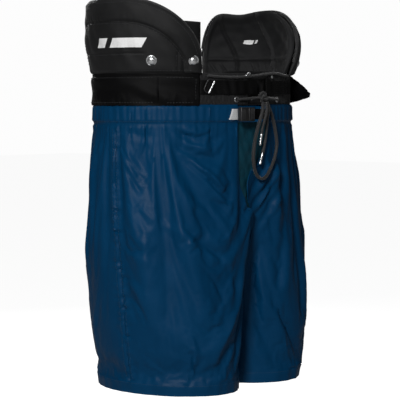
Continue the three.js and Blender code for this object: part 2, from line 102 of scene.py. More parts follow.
class Cloth(Enum):
    """The kinds of woven surface, as threads per metre and the height of the weave."""

    NYLON = (2600.0, 0.00006)
    PACK_CLOTH = (1500.0, 0.00016)
    MESH = (700.0, 0.0004)
    WEBBING = (900.0, 0.0004)


def smooth(share: Array) -> Array:
    """A step from 0 to 1 with level ends."""
    s = np.clip(share, 0.0, 1.0)
    return s * s * (3.0 - 2.0 * s)


def mix(a: Array, b: Array, share: Array) -> Array:
    """The value a share of the way from a to b."""
    return a + (b - a) * share


# ---- The garment's form -------------------------------------------------------------------


@dataclass(frozen=True)
class GarmentForm:
    """The plan of the garment at each height: one ring at the waist that turns into two legs.

    Angles round the body are degrees from the front centre, positive towards the wearer's
    right, and heights are metres above the middle of the waistband.
    """

    waist: tuple[float, float] = (0.183, 0.128)
    seat: tuple[float, float] = (0.194, 0.138)
    seat_top_z: float = -0.034
    seat_z: float = -0.190
    hem_z: float = -0.454
    hem: tuple[float, float] = (0.090, 0.118)
    hem_centre_x: float = 0.077
    thigh: tuple[float, float] = (0.101, 0.132)
    thigh_centre_x: float = 0.090
    leg_centre_y: float = -0.012
    inner_x: float = 0.004
    leg_start_z: float = -0.060
    leg_full_z: float = -0.400
    hip_y: float = -0.006
    hip_z: float = -0.090
    hip_radius: float = 0.152

    @property
    def crotch_z(self) -> float:
        """The lowest point of the seam between the legs."""
        return self.hip_z - self.hip_radius

    def half_section(self, u: Array, z: Array) -> tuple[Array, Array]:
        """Plan position on the right half.

        Args:
            u: from 0 at the front centre to 1 at the back centre.
            z: the height.

        Returns:
            x and y.
        """
        share = smooth((self.seat_top_z - z) / (self.seat_top_z - self.seat_z))
        a = mix(self.waist[0], self.seat[0], share)
        b = mix(self.waist[1], self.seat[1], share)
        down = np.clip((self.crotch_z - z) / (self.crotch_z - self.hem_z), 0.0, 1.0)
        centre = mix(self.thigh_centre_x, self.hem_centre_x, down)
        p = mix(self.thigh[0], self.hem[0], down)
        q = mix(self.thigh[1], self.hem[1], down)
        start = np.arccos((centre - self.inner_x) / p)
        turn = start + (2 * math.pi - 2 * start) * u
        leg = smooth((self.leg_start_z - z) / (self.leg_start_z - self.leg_full_z))
        x = mix(-a * np.sin(math.pi * u), -centre + p * np.cos(turn), leg)
        y = mix(-b * np.cos(math.pi * u), self.leg_centre_y - q * np.sin(turn), leg)
        return x, y

    def surface(self, angle: Array, z: Array, offset: Array = 0.0) -> tuple[Array, Array]:
        """Points of the garment and the level normals there.

        Args:
            angle: degrees round the body.
            z: heights.
            offset: how far out from the shell's outer face.

        Returns:
            the points and the normals, each as rows of three.
        """
        angle, z, offset = np.broadcast_arrays(
            np.asarray(angle, float), np.asarray(z, float), np.asarray(offset, float)
        )
        wrapped = np.where(angle > 180.0, angle - 360.0, angle)
        side = np.where(wrapped < 0.0, -1.0, 1.0)
        u = np.abs(wrapped) / 180.0
        x, y = self.half_section(u, z)
        x1, y1 = self.half_section(u + 1e-3, z)
        x0, y0 = self.half_section(u - 1e-3, z)
        length = np.hypot(x1 - x0, y1 - y0)
        normal = np.stack([-(y1 - y0) / length * side, (x1 - x0) / length, 0.0 * z], -1)
        point = np.stack([x * side, y, z], -1) + normal * offset[..., None]
        return point, normal

    def crotch_height(self, y: Array) -> Array:
        """The height of the seam between the legs at a depth."""
        away = np.clip(y - self.hip_y, -0.149, 0.149)
        return self.hip_z - np.sqrt(self.hip_radius**2 - away**2)

    def leg_edge(self, angle: float) -> float:
        """The height at which the front or the back centre line meets the crotch seam."""
        z = np.array(self.crotch_z)
        for _ in range(40):
            y = self.surface(angle, z)[0][..., 1]
            z = mix(z, self.crotch_height(y), 0.5)
        return float(z)


FORM = GarmentForm()


# ---- Modelling helpers --------------------------------------------------------------------


def deselect() -> None:
    """Leaves nothing selected, the frame's own parts included."""
    if bpy.context.object and bpy.context.object.mode != "OBJECT":
        bpy.ops.object.mode_set(mode="OBJECT")
    bpy.ops.object.select_all(action="DESELECT")


def activate(*objects: bpy.types.Object) -> None:
    """Selects just these objects, the first of them active."""
    deselect()
    for item in objects:
        item.select_set(True)
    bpy.context.view_layer.objects.active = objects[0]


def named(name: str) -> bpy.types.Object:
    """Names the object that an operator has just added, and its data."""
    made = bpy.context.object
    made.name = name
    made.data.name = name
    return made


def points_of(piece: bpy.types.Object) -> Array:
    """The vertices of a mesh as rows of three."""
    co = np.empty(len(piece.data.vertices) * 3)
    piece.data.vertices.foreach_get("co", co)
    return co.reshape(-1, 3)


def normals_of(piece: bpy.types.Object) -> Array:
    """The vertex normals of a mesh as rows of three."""
    piece.data.update()
    normal = np.empty(len(piece.data.vertices) * 3, dtype=np.float32)
    piece.data.vertex_normals.foreach_get("vector", normal)
    return normal.reshape(-1, 3).astype(float)


def move_to(piece: bpy.types.Object, points: Array) -> None:
    """Puts the vertices of a mesh at new places."""
    piece.data.vertices.foreach_set("co", np.ascontiguousarray(points, float).ravel())
    piece.data.update()


def mark(piece: bpy.types.Object, name: str, values: Array) -> None:
    """Stores rows of three on the vertices, for the weave to follow."""
    found = piece.data.attributes.get(name)
    layer = found or piece.data.attributes.new(name, "FLOAT_VECTOR", "POINT")
    layer.data.foreach_set("vector", np.ascontiguousarray(values, np.float32).ravel())


def marked(piece: bpy.types.Object, name: str) -> Array:
    """The rows of three stored under a name."""
    layer = piece.data.attributes[name]
    values = np.empty(len(piece.data.vertices) * 3, dtype=np.float32)
    layer.data.foreach_get("vector", values)
    return values.reshape(-1, 3).astype(float)


def face_out(piece: bpy.types.Object) -> None:
    """Turns every face of a closed mesh outwards."""
    activate(piece)
    bpy.ops.object.mode_set(mode="EDIT")
    bpy.ops.mesh.select_all(action="SELECT")
    bpy.ops.mesh.normals_make_consistent(inside=False)
    bpy.ops.object.mode_set(mode="OBJECT")


def unit_grid(name: str, columns: int, rows: int) -> bpy.types.Object:
    """A flat grid from 0 to 1 both ways."""
    deselect()
    bpy.ops.mesh.primitive_grid_add(x_subdivisions=columns, y_subdivisions=rows, size=1.0)
    piece = named(name)
    move_to(piece, points_of(piece) + [0.5, 0.5, 0.0])
    return piece


def unit_slab(name: str, columns: int, rows: int) -> bpy.types.Object:
    """A closed block from 0 to 1 each way: a grid extruded by one."""
    piece = unit_grid(name, columns, rows)
    activate(piece)
    bpy.ops.object.mode_set(mode="EDIT")
    bpy.ops.mesh.select_all(action="SELECT")
    bpy.ops.mesh.extrude_region_move(TRANSFORM_OT_translate={"value": (0.0, 0.0, 1.0)})
    bpy.ops.object.mode_set(mode="OBJECT")
    return piece


def shaped(piece: bpy.types.Object, place: Place) -> bpy.types.Object:
    """Bends a unit grid or slab into its shape.

    Args:
        piece: a unit grid or slab.
        place: gives points from shares across, up and through.

    Returns:
        the same piece.
    """
    co = points_of(piece)
    mark(piece, "share", co)
    move_to(piece, place(co[:, 0], co[:, 1], co[:, 2]))
    face_out(piece)
    return piece


def modify(piece: bpy.types.Object, kind: str, **settings: object) -> None:
    """Adds a modifier with these settings and applies it."""
    activate(piece)
    modifier = piece.modifiers.new(kind.lower(), kind)
    for key, value in settings.items():
        setattr(modifier, key, value)
    bpy.ops.object.modifier_apply(modifier=modifier.name)


def shade(piece: bpy.types.Object, angle: float = 40.0) -> None:
    """Smooth shading, with edges sharper than the angle kept."""
    activate(piece)
    bpy.ops.object.shade_smooth_by_angle(angle=math.radians(angle))


def rim(share_u: Array, share_v: Array, edge_u: float, edge_v: float) -> Array:
    """How full a pad is: 1 over its middle, rounding down to 0 at its rim."""
    du = np.clip(np.minimum(share_u, 1.0 - share_u) / edge_u, 0.0, 1.0)
    dv = np.clip(np.minimum(share_v, 1.0 - share_v) / edge_v, 0.0, 1.0)
    return np.sqrt((1.0 - (1.0 - du) ** 2) * (1.0 - (1.0 - dv) ** 2))


def catmull(points: Sequence[Sequence[float]], per_span: int = 8) -> Array:
    """A smooth line through points, as rows of three."""
    p = np.array(points, float)
    p = np.vstack([2 * p[0] - p[1], p, 2 * p[-1] - p[-2]])
    out = []
    for k in range(1, len(p) - 2):
        t = np.linspace(0.0, 1.0, per_span, endpoint=False)[:, None]
        a, b, c, d = p[k - 1], p[k], p[k + 1], p[k + 2]
        out.append(
            0.5 * (2 * b + (c - a) * t + (2 * a - 5 * b + 4 * c - d) * t**2 + (3 * b - a - 3 * c + d) * t**3)
        )
    return np.vstack(out + [p[-2:-1]])


def sweep(name: str, line: Array, radius: float, sides: int = 10, flat: float = 1.0) -> bpy.types.Object:
    """A closed tube along a line, marked with the distance along and round it.

    Args:
        name: the piece's name.
        line: the tube's centres.
        radius: half its thickness.
        sides: corners round it.
        flat: the share of the radius kept across the second direction.

    Returns:
        the new mesh object.
    """
    along = np.gradient(line, axis=0)
    along /= np.linalg.norm(along, axis=1, keepdims=True)
    normal = np.cross(along[0], [0.0, 0.0, 1.0])
    if np.linalg.norm(normal) < 0.1:
        normal = np.cross(along[0], [1.0, 0.0, 0.0])
    normal /= np.linalg.norm(normal)
    run = np.concatenate([[0.0], np.cumsum(np.linalg.norm(np.diff(line, axis=0), axis=1))])
    turn = np.linspace(0.0, 2 * math.pi, sides, endpoint=False)
    rings, notes = [], []
    for centre, way, far in zip(line, along, run):
        normal = normal - way * (normal @ way)
        normal /= np.linalg.norm(normal)
        across = np.cross(way, normal)
        rings.append(
            centre + radius * (np.cos(turn)[:, None] * normal + flat * np.sin(turn)[:, None] * across)
        )
        notes.append(np.stack([np.full(sides, far), turn * radius, 0 * turn], -1))
    ends = [line[0], line[-1]]
    vertices = np.vstack(rings + [ends])
    count = len(line)
    faces = []
    for k in range(count - 1):
        for j in range(sides):
            a, b = k * sides + j, k * sides + (j + 1) % sides
            faces.append((a, b, b + sides, a + sides))
    first, last = count * sides, count * sides + 1
    for j in range(sides):
        faces.append((first, (j + 1) % sides, j))
        faces.append((last, (count - 1) * sides + j, (count - 1) * sides + (j + 1) % sides))
    mesh = bpy.data.meshes.new(name)
    mesh.from_pydata(vertices.tolist(), [], faces)
    piece = bpy.data.objects.new(name, mesh)
    bpy.context.collection.objects.link(piece)
    mark(piece, "weave", np.vstack(notes + [[[0, 0, 0], [run[-1], 0, 0]]]))
    face_out(piece)
    shade(piece, 60.0)
    return piece


def joined(name: str, pieces: Sequence[bpy.types.Object]) -> bpy.types.Object:
    """Several meshes made one."""
    activate(*pieces)
    bpy.ops.object.join()
    return named(name)


def stitches(
    name: str, line: Array, normal: Array, length: float = 0.0032, pitch: float = 0.0046, thick: float = 0.0005
) -> bpy.types.Object:
    """A row of sewn stitches: one thread bump, copied along a line.

    Args:
        name: the piece's name.
        line: where the seam runs.
        normal: the way out of the cloth at each point of the line.
        length: of one stitch.
        pitch: from one stitch to the next.
        thick: half the thickness of the thread.

    Returns:
        the stitches as one mesh object.
    """
    deselect()
    bpy.ops.mesh.primitive_uv_sphere_add(segments=6, ring_count=4, radius=1.0)
    bump = named(name + "_bump")
    one = points_of(bump)
    shape = [tuple(face.vertices) for face in bump.data.polygons]
    bpy.data.objects.remove(bump)
    run = np.concatenate([[0.0], np.cumsum(np.linalg.norm(np.diff(line, axis=0), axis=1))])
    vertices, faces = [], []
    for at in np.arange(pitch, run[-1] - pitch, pitch):
        here, there = (
            np.array([np.interp(at + step, run, line[:, k]) for k in range(3)]) for step in (0.0, 1e-4)
        )
        out = np.array([np.interp(at, run, normal[:, k]) for k in range(3)])
        way = there - here
        way /= np.linalg.norm(way)
        out -= way * (out @ way)
        out /= np.linalg.norm(out)
        across = np.cross(way, out)
        start = len(vertices) * len(one)
        vertices.append(
            here
            + one[:, :1] * way * length / 2
            + one[:, 1:2] * across * thick
            + one[:, 2:3] * out * thick
        )
        faces += [tuple(start + v for v in face) for face in shape]
    mesh = bpy.data.meshes.new(name)
    mesh.from_pydata(np.vstack(vertices).tolist(), [], faces)
    piece = bpy.data.objects.new(name, mesh)
    bpy.context.collection.objects.link(piece)
    face_out(piece)
    shade(piece, 80.0)
    return piece


class Surface:
    """Lays lines on the outside of a finished mesh."""

    def __init__(self, piece: bpy.types.Object) -> None:
        """Takes the mesh that lines will lie on."""
        mesh = bmesh.new()
        mesh.from_mesh(piece.data)
        self.tree = BVHTree.FromBMesh(mesh)
        mesh.free()

    def lay(self, line: Array, lift: float) -> tuple[Array, Array]:
        """Moves a line onto the mesh.

        Args:
            line: points near the mesh.
            lift: how far above it they end.

        Returns:
            the moved points and the normals there.
        """
        points, normals = [], []
        for point in line:
            place, normal, _, _ = self.tree.find_nearest(Vector(point))
            points.append(np.array(place + normal * lift))
            normals.append(np.array(normal))
        return np.array(points), np.array(normals)


def dress(piece: bpy.types.Object, body: Optional[str], slot: str, *materials: bpy.types.Material) -> None:
    """Gives a piece its materials, and lets it ride on a body when one is named."""
    piece.data.materials.clear()
    for material in materials:
        piece.data.materials.append(material)
    if body:
        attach(piece, body)
    LOG.info("%s: %d faces, on %s", piece.name, len(piece.data.polygons), body or "a blend")


def fold_up(piece: bpy.types.Object) -> None:
    """Bakes the place of a standing pad's piece into its mesh.

    Args:
        piece: the finished piece, riding on nothing.
    """
    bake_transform(piece)


# ---- Finishes -----------------------------------------------------------------------------


class NodeKit:
    """Builds the shader node groups once and wires materials."""

    def __init__(self) -> None:
        """Makes the shared groups."""
        self.weave = self._weave_group()
        self.mottle = self._mottle_group()

    @staticmethod
    def _socket(group: bpy.types.NodeTree, name: str, way: str, kind: str, value: object = None) -> None:
        """Adds one socket to a group's interface."""
        made = group.interface.new_socket(name, in_out=way, socket_type=kind)
        if value is not None:
            made.default_value = value

    def _weave_group(self) -> bpy.types.NodeTree:
        """Over-and-under threads: a height and a thread mask from a vector and a count."""
        group = bpy.data.node_groups.new("Weave", "ShaderNodeTree")
        self._socket(group, "Vector", "INPUT", "NodeSocketVector")
        self._socket(group, "Threads", "INPUT", "NodeSocketFloat", 1000.0)
        self._socket(group, "Height", "OUTPUT", "NodeSocketFloat")
        nodes, links = group.nodes, group.links
        enter, leave = nodes.new("NodeGroupInput"), nodes.new("NodeGroupOutput")
        scale = nodes.new("ShaderNodeVectorMath")
        scale.operation = "SCALE"
        links.new(enter.outputs["Vector"], scale.inputs[0])
        links.new(enter.outputs["Threads"], scale.inputs["Scale"])
        split = nodes.new("ShaderNodeSeparateXYZ")
        links.new(scale.outputs[0], split.inputs[0])
        waves = []
        for axis in ("X", "Y"):
            wave = nodes.new("ShaderNodeMath")
            wave.operation = "SINE"
            turn = nodes.new("ShaderNodeMath")
            turn.operation = "MULTIPLY"
            turn.inputs[1].default_value = math.pi
            links.new(split.outputs[axis], turn.inputs[0])
            links.new(turn.outputs[0], wave.inputs[0])
            waves.append(wave)
        cross = nodes.new("ShaderNodeMath")
        cross.operation = "MULTIPLY"
        links.new(waves[0].outputs[0], cross.inputs[0])
        links.new(waves[1].outputs[0], cross.inputs[1])
        lift = nodes.new("ShaderNodeMath")
        lift.operation = "MULTIPLY_ADD"
        lift.inputs[1].default_value = 0.5
        lift.inputs[2].default_value = 0.5
        links.new(cross.outputs[0], lift.inputs[0])
        links.new(lift.outputs[0], leave.inputs["Height"])
        return group

    def _mottle_group(self) -> bpy.types.NodeTree:
        """Slow and fine unevenness of dye and dust: one value about 0.5."""
        group = bpy.data.node_groups.new("Mottle", "ShaderNodeTree")
        self._socket(group, "Size", "INPUT", "NodeSocketFloat", 20.0)
        self._socket(group, "Value", "OUTPUT", "NodeSocketFloat")
        nodes, links = group.nodes, group.links
        enter, leave = nodes.new("NodeGroupInput"), nodes.new("NodeGroupOutput")
        place = nodes.new("ShaderNodeTexCoord")
        noise = nodes.new("ShaderNodeTexNoise")
        noise.inputs["Detail"].default_value = 6.0
        noise.inputs["Roughness"].default_value = 0.6
        links.new(place.outputs["Object"], noise.inputs["Vector"])
        links.new(enter.outputs["Size"], noise.inputs["Scale"])
        links.new(noise.outputs["Fac"], leave.inputs["Value"])
        return group

    def place(self, tree: bpy.types.NodeTree, group: bpy.types.NodeTree) -> bpy.types.Node:
        """Puts a group into a material."""
        node = tree.nodes.new("ShaderNodeGroup")
        node.node_tree = group
        return node


KIT = NodeKit()


@dataclass(frozen=True)
class ClothFinish:
    """A woven cloth: two tones, gloss, sheen and weave."""

    name: str
    tone: tuple[float, float, float]
    second: tuple[float, float, float]
    roughness: float
    cloth: Cloth
    sheen: float = 0.2
    specular: float = 0.4
    crease: float = 0.0
    mottle: float = 18.0
    marked: bool = True

    def build(self) -> bpy.types.Material:
        """Makes the material.

        Returns:
            the material, its weave following the piece's own marks.
        """
        material = bpy.data.materials.new(self.name)
        material.use_nodes = True
        tree = material.node_tree
        nodes, links = tree.nodes, tree.links
        shader = nodes["Principled BSDF"]
        shader.inputs["Roughness"].default_value = self.roughness
        shader.inputs["Sheen Weight"].default_value = self.sheen
        shader.inputs["Sheen Roughness"].default_value = 0.45
        shader.inputs["Specular IOR Level"].default_value = self.specular
        threads, depth = self.cloth.value
        if self.marked:
            where = nodes.new("ShaderNodeAttribute")
            where.attribute_name = "weave"
            vector = where.outputs["Vector"]
        else:
            where = nodes.new("ShaderNodeTexCoord")
            vector = where.outputs["Object"]
        weave = KIT.place(tree, KIT.weave)
        weave.inputs["Threads"].default_value = threads
        links.new(vector, weave.inputs["Vector"])
        dye = KIT.place(tree, KIT.mottle)
        dye.inputs["Size"].default_value = self.mottle
        blend = nodes.new("ShaderNodeMix")
        blend.data_type = "RGBA"
        blend.inputs["A"].default_value = (*self.tone, 1.0)
        blend.inputs["B"].default_value = (*self.second, 1.0)
        tone = nodes.new("ShaderNodeMath")
        tone.operation = "MULTIPLY_ADD"
        tone.inputs[1].default_value = 0.35
        links.new(weave.outputs["Height"], tone.inputs[0])
        centre = nodes.new("ShaderNodeMapRange")
        centre.inputs["From Min"].default_value = 0.3
        centre.inputs["From Max"].default_value = 0.7
        centre.inputs["To Max"].default_value = 0.65
        links.new(dye.outputs["Value"], centre.inputs["Value"])
        links.new(centre.outputs["Result"], tone.inputs[2])
        links.new(tone.outputs[0], blend.inputs["Factor"])
        links.new(blend.outputs["Result"], shader.inputs["Base Color"])
        gloss = nodes.new("ShaderNodeMapRange")
        gloss.inputs["From Min"].default_value = 0.3
        gloss.inputs["From Max"].default_value = 0.7
        gloss.inputs["To Min"].default_value = self.roughness - 0.05
        gloss.inputs["To Max"].default_value = self.roughness + 0.08
        links.new(dye.outputs["Value"], gloss.inputs["Value"])
        links.new(gloss.outputs["Result"], shader.inputs["Roughness"])
        fine = nodes.new("ShaderNodeBump")
        fine.inputs["Strength"].default_value = 0.6
        fine.inputs["Distance"].default_value = depth
        links.new(weave.outputs["Height"], fine.inputs["Height"])
        if self.crease:
            rumple = KIT.place(tree, KIT.mottle)
            rumple.inputs["Size"].default_value = 55.0
            soft = nodes.new("ShaderNodeBump")
            soft.inputs["Strength"].default_value = 1.0
            soft.inputs["Distance"].default_value = self.crease
            links.new(rumple.outputs["Value"], soft.inputs["Height"])
            links.new(soft.outputs["Normal"], fine.inputs["Normal"])
        links.new(fine.outputs["Normal"], shader.inputs["Normal"])
        return material


@dataclass(frozen=True)
class HardFinish:
    """Moulded plastic or plated metal: colour, gloss and light scuffs."""

    name: str
    tone: tuple[float, float, float]
    roughness: float
    metallic: float = 0.0
    scuff: float = 0.1

    def build(self) -> bpy.types.Material:
        """Makes the material.

        Returns:
            the material, with roughness and height varied by fine grain.
        """
        material = bpy.data.materials.new(self.name)
        material.use_nodes = True
        tree = material.node_tree
        nodes, links = tree.nodes, tree.links
        shader = nodes["Principled BSDF"]
        shader.inputs["Metallic"].default_value = self.metallic
        grain = KIT.place(tree, KIT.mottle)
        grain.inputs["Size"].default_value = 260.0
        blend = nodes.new("ShaderNodeMix")
        blend.data_type = "RGBA"
        blend.inputs["A"].default_value = (*[c * 0.8 for c in self.tone], 1.0)
        blend.inputs["B"].default_value = (*[min(1.0, c * 1.2) for c in self.tone], 1.0)
        links.new(grain.outputs["Value"], blend.inputs["Factor"])
        links.new(blend.outputs["Result"], shader.inputs["Base Color"])
        rough = nodes.new("ShaderNodeMapRange")
        rough.inputs["From Min"].default_value = 0.3
        rough.inputs["From Max"].default_value = 0.7
        rough.inputs["To Min"].default_value = self.roughness
        rough.inputs["To Max"].default_value = self.roughness + self.scuff
        links.new(grain.outputs["Value"], rough.inputs["Value"])
        links.new(rough.outputs["Result"], shader.inputs["Roughness"])
        bump = nodes.new("ShaderNodeBump")
        bump.inputs["Strength"].default_value = 0.3
        bump.inputs["Distance"].default_value = 0.00005
        links.new(grain.outputs["Value"], bump.inputs["Height"])
        links.new(bump.outputs["Normal"], shader.inputs["Normal"])
        return material


NAVY_NYLON = ClothFinish(
    "navy nylon", (0.0000, 0.029, 0.080), (0.0003, 0.039, 0.106), 0.44, Cloth.NYLON, 0.0, 0.085, 0.0004
).build()
NAVY_LINING = ClothFinish(
    "navy lining", (0.004, 0.020, 0.050), (0.006, 0.028, 0.065), 0.7, Cloth.NYLON, 0.1, 0.2
).build()
TEAL_NYLON = ClothFinish(
    "teal nylon", (0.0015, 0.032, 0.052), (0.003, 0.042, 0.066), 0.5, Cloth.NYLON, 0.0, 0.2, 0.001
).build()
BLACK_CLOTH = ClothFinish(
    "black pack cloth", (0.0062, 0.0063, 0.0066), (0.0122, 0.0123, 0.0128), 0.60, Cloth.PACK_CLOTH, 0.02, 0.18
).build()
BLACK_BAND = ClothFinish(
    "black band cloth", (0.0014, 0.0014, 0.0016), (0.0034, 0.0034, 0.0037), 0.56, Cloth.PACK_CLOTH, 0.0, 0.08
).build()
BLACK_LINING = ClothFinish(
    "black mesh lining", (0.0060, 0.0062, 0.0068), (0.0150, 0.0152, 0.0160), 0.7, Cloth.MESH, 0.05, 0.2
).build()
PIPING = ClothFinish(
    "black piping", (0.0030, 0.0030, 0.0035), (0.0070, 0.0070, 0.0080), 0.5, Cloth.WEBBING
).build()
WEBBING = ClothFinish(
    "black webbing", (0.0008, 0.0008, 0.0009), (0.0032, 0.0032, 0.0035), 0.6, Cloth.WEBBING, 0.0, 0.12
).build()
PALE_WEBBING = ClothFinish("pale webbing", (0.33, 0.34, 0.35), (0.55, 0.56, 0.57), 0.7, Cloth.WEBBING).build()
FOAM = ClothFinish(
    "grey foam", (0.020, 0.021, 0.024), (0.035, 0.037, 0.041), 0.9, Cloth.MESH, marked=False
).build()
BRAID = ClothFinish("black braid", (0.0030, 0.0030, 0.0032), (0.0240, 0.0240, 0.0260), 0.6, Cloth.MESH).build()
THREAD = HardFinish("black thread", (0.016, 0.017, 0.019), 0.6).build()
NAVY_THREAD = HardFinish("navy thread", (0.008, 0.040, 0.090), 0.6).build()
SILVER = HardFinish("silver plate", (0.78, 0.79, 0.80), 0.22, 1.0, 0.15).build()
BLACK_PLASTIC = HardFinish("black moulded plastic", (0.012, 0.012, 0.013), 0.38).build()
PAD_PLASTIC = HardFinish("pad plastic", (0.028, 0.028, 0.031), 0.45).build()
WHITE_PRINT = HardFinish("white print", (0.78, 0.78, 0.78), 0.5).build()


# ---- The nylon shell ----------------------------------------------------------------------

ARC_PER_DEGREE = 0.0029


def bend_at_hip(piece: bpy.types.Object) -> None:
    """Bakes the place of a piece into its mesh."""
    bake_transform(piece)


@dataclass(frozen=True)
class Fold:
    """One ridge or crease in the nylon.

    Path places are (angle, height); the height of the fold is out from the cloth, the width
    is half its spread, and lean above 0 makes the lower or forward side the steep one.
    """

    path: tuple[tuple[float, float], ...]
    height: float
    width: float
    lean: float = 0.0

    def relief(self, arc: Array, z: Array) -> Array:
        """The fold's height at places given as arc length and height."""
        line = np.array([(angle * ARC_PER_DEGREE, height) for angle, height in self.path])
        line = catmull(np.column_stack([line, np.zeros(len(line))]), 6)[:, :2]
        best = np.full(arc.shape, 1e9)
        signed = np.zeros(arc.shape)
        share = np.zeros(arc.shape)
        for k, (start, end) in enumerate(zip(line[:-1], line[1:])):
            way = end - start
            length = np.hypot(*way) + 1e-9
            along = np.clip(((arc - start[0]) * way[0] + (z - start[1]) * way[1]) / length**2, 0, 1)
            dx, dz = arc - start[0] - along * way[0], z - start[1] - along * way[1]
            distance = np.hypot(dx, dz)
            nearer = distance < best
            best = np.where(nearer, distance, best)
            signed = np.where(nearer, (way[0] * dz - way[1] * dx) / length, signed)
            share = np.where(nearer, (k + along) / (len(line) - 1), share)
        spread = self.width * (1.0 + self.lean * np.tanh(signed / self.width * 2.0))
        fade = np.clip(np.sin(math.pi * np.clip(share, 0.02, 0.98)), 0.0, 1.0) ** 0.7
        ridge = np.exp(-((best / spread) ** 2))
        under = np.exp(-(((signed + 1.5 * self.width) / (0.7 * self.width)) ** 2)) * (best < 3 * self.width)
        return self.height * fade * (ridge - 0.35 * under * (self.height > 0))


def ripple(arc: Array, z: Array, count: int, size: tuple[float, float], seed: int) -> Array:
    """Uneven crumpling between about -1 and 1, from many crossed waves.

    Args:
        arc: arc lengths.
        z: heights.
        count: how many waves.
        size: wave lengths along the arc and up.
        seed: picks the waves.

    Returns:
        the sum of the waves.
    """
    draw = np.random.default_rng(seed)
    total = np.zeros(arc.shape)
    for _ in range(count):
        across = draw.normal(0, 1.0) / size[0]
        upward = draw.normal(0, 1.0) / size[1]
        phase = draw.uniform(0, 2 * math.pi)
        warp = 0.35 * np.sin(2 * math.pi * (arc / size[0] * 0.37 + z / size[1] * 0.29) + phase)
        total += np.cos(2 * math.pi * (across * arc + upward * z) + phase + 2.0 * warp)
    return total / math.sqrt(count)


def ridged(values: Array) -> Array:
    """Turns soft waves into sharp ridges with broad hollows, as crumpled nylon has."""
    return 1.0 - np.abs(np.clip(values, -2.0, 2.0))


def spread_out(piece: bpy.types.Object, values: Array, steps: int) -> Array:
    """Averages rows of values over a mesh's neighbours, so that only the broad shape is left."""
    edges = np.empty(len(piece.data.edges) * 2, dtype=np.int32)
    piece.data.edges.foreach_get("vertices", edges)
    one, two = edges.reshape(-1, 2).T
    count = np.bincount(one, minlength=len(values)) + np.bincount(two, minlength=len(values))
    for _ in range(steps):
        columns = [
            np.bincount(one, values[two, k], len(values)) + np.bincount(two, values[one, k], len(values))
            for k in range(values.shape[1])
        ]
        values = np.stack(columns, -1) / np.maximum(count, 1)[:, None]
    return values


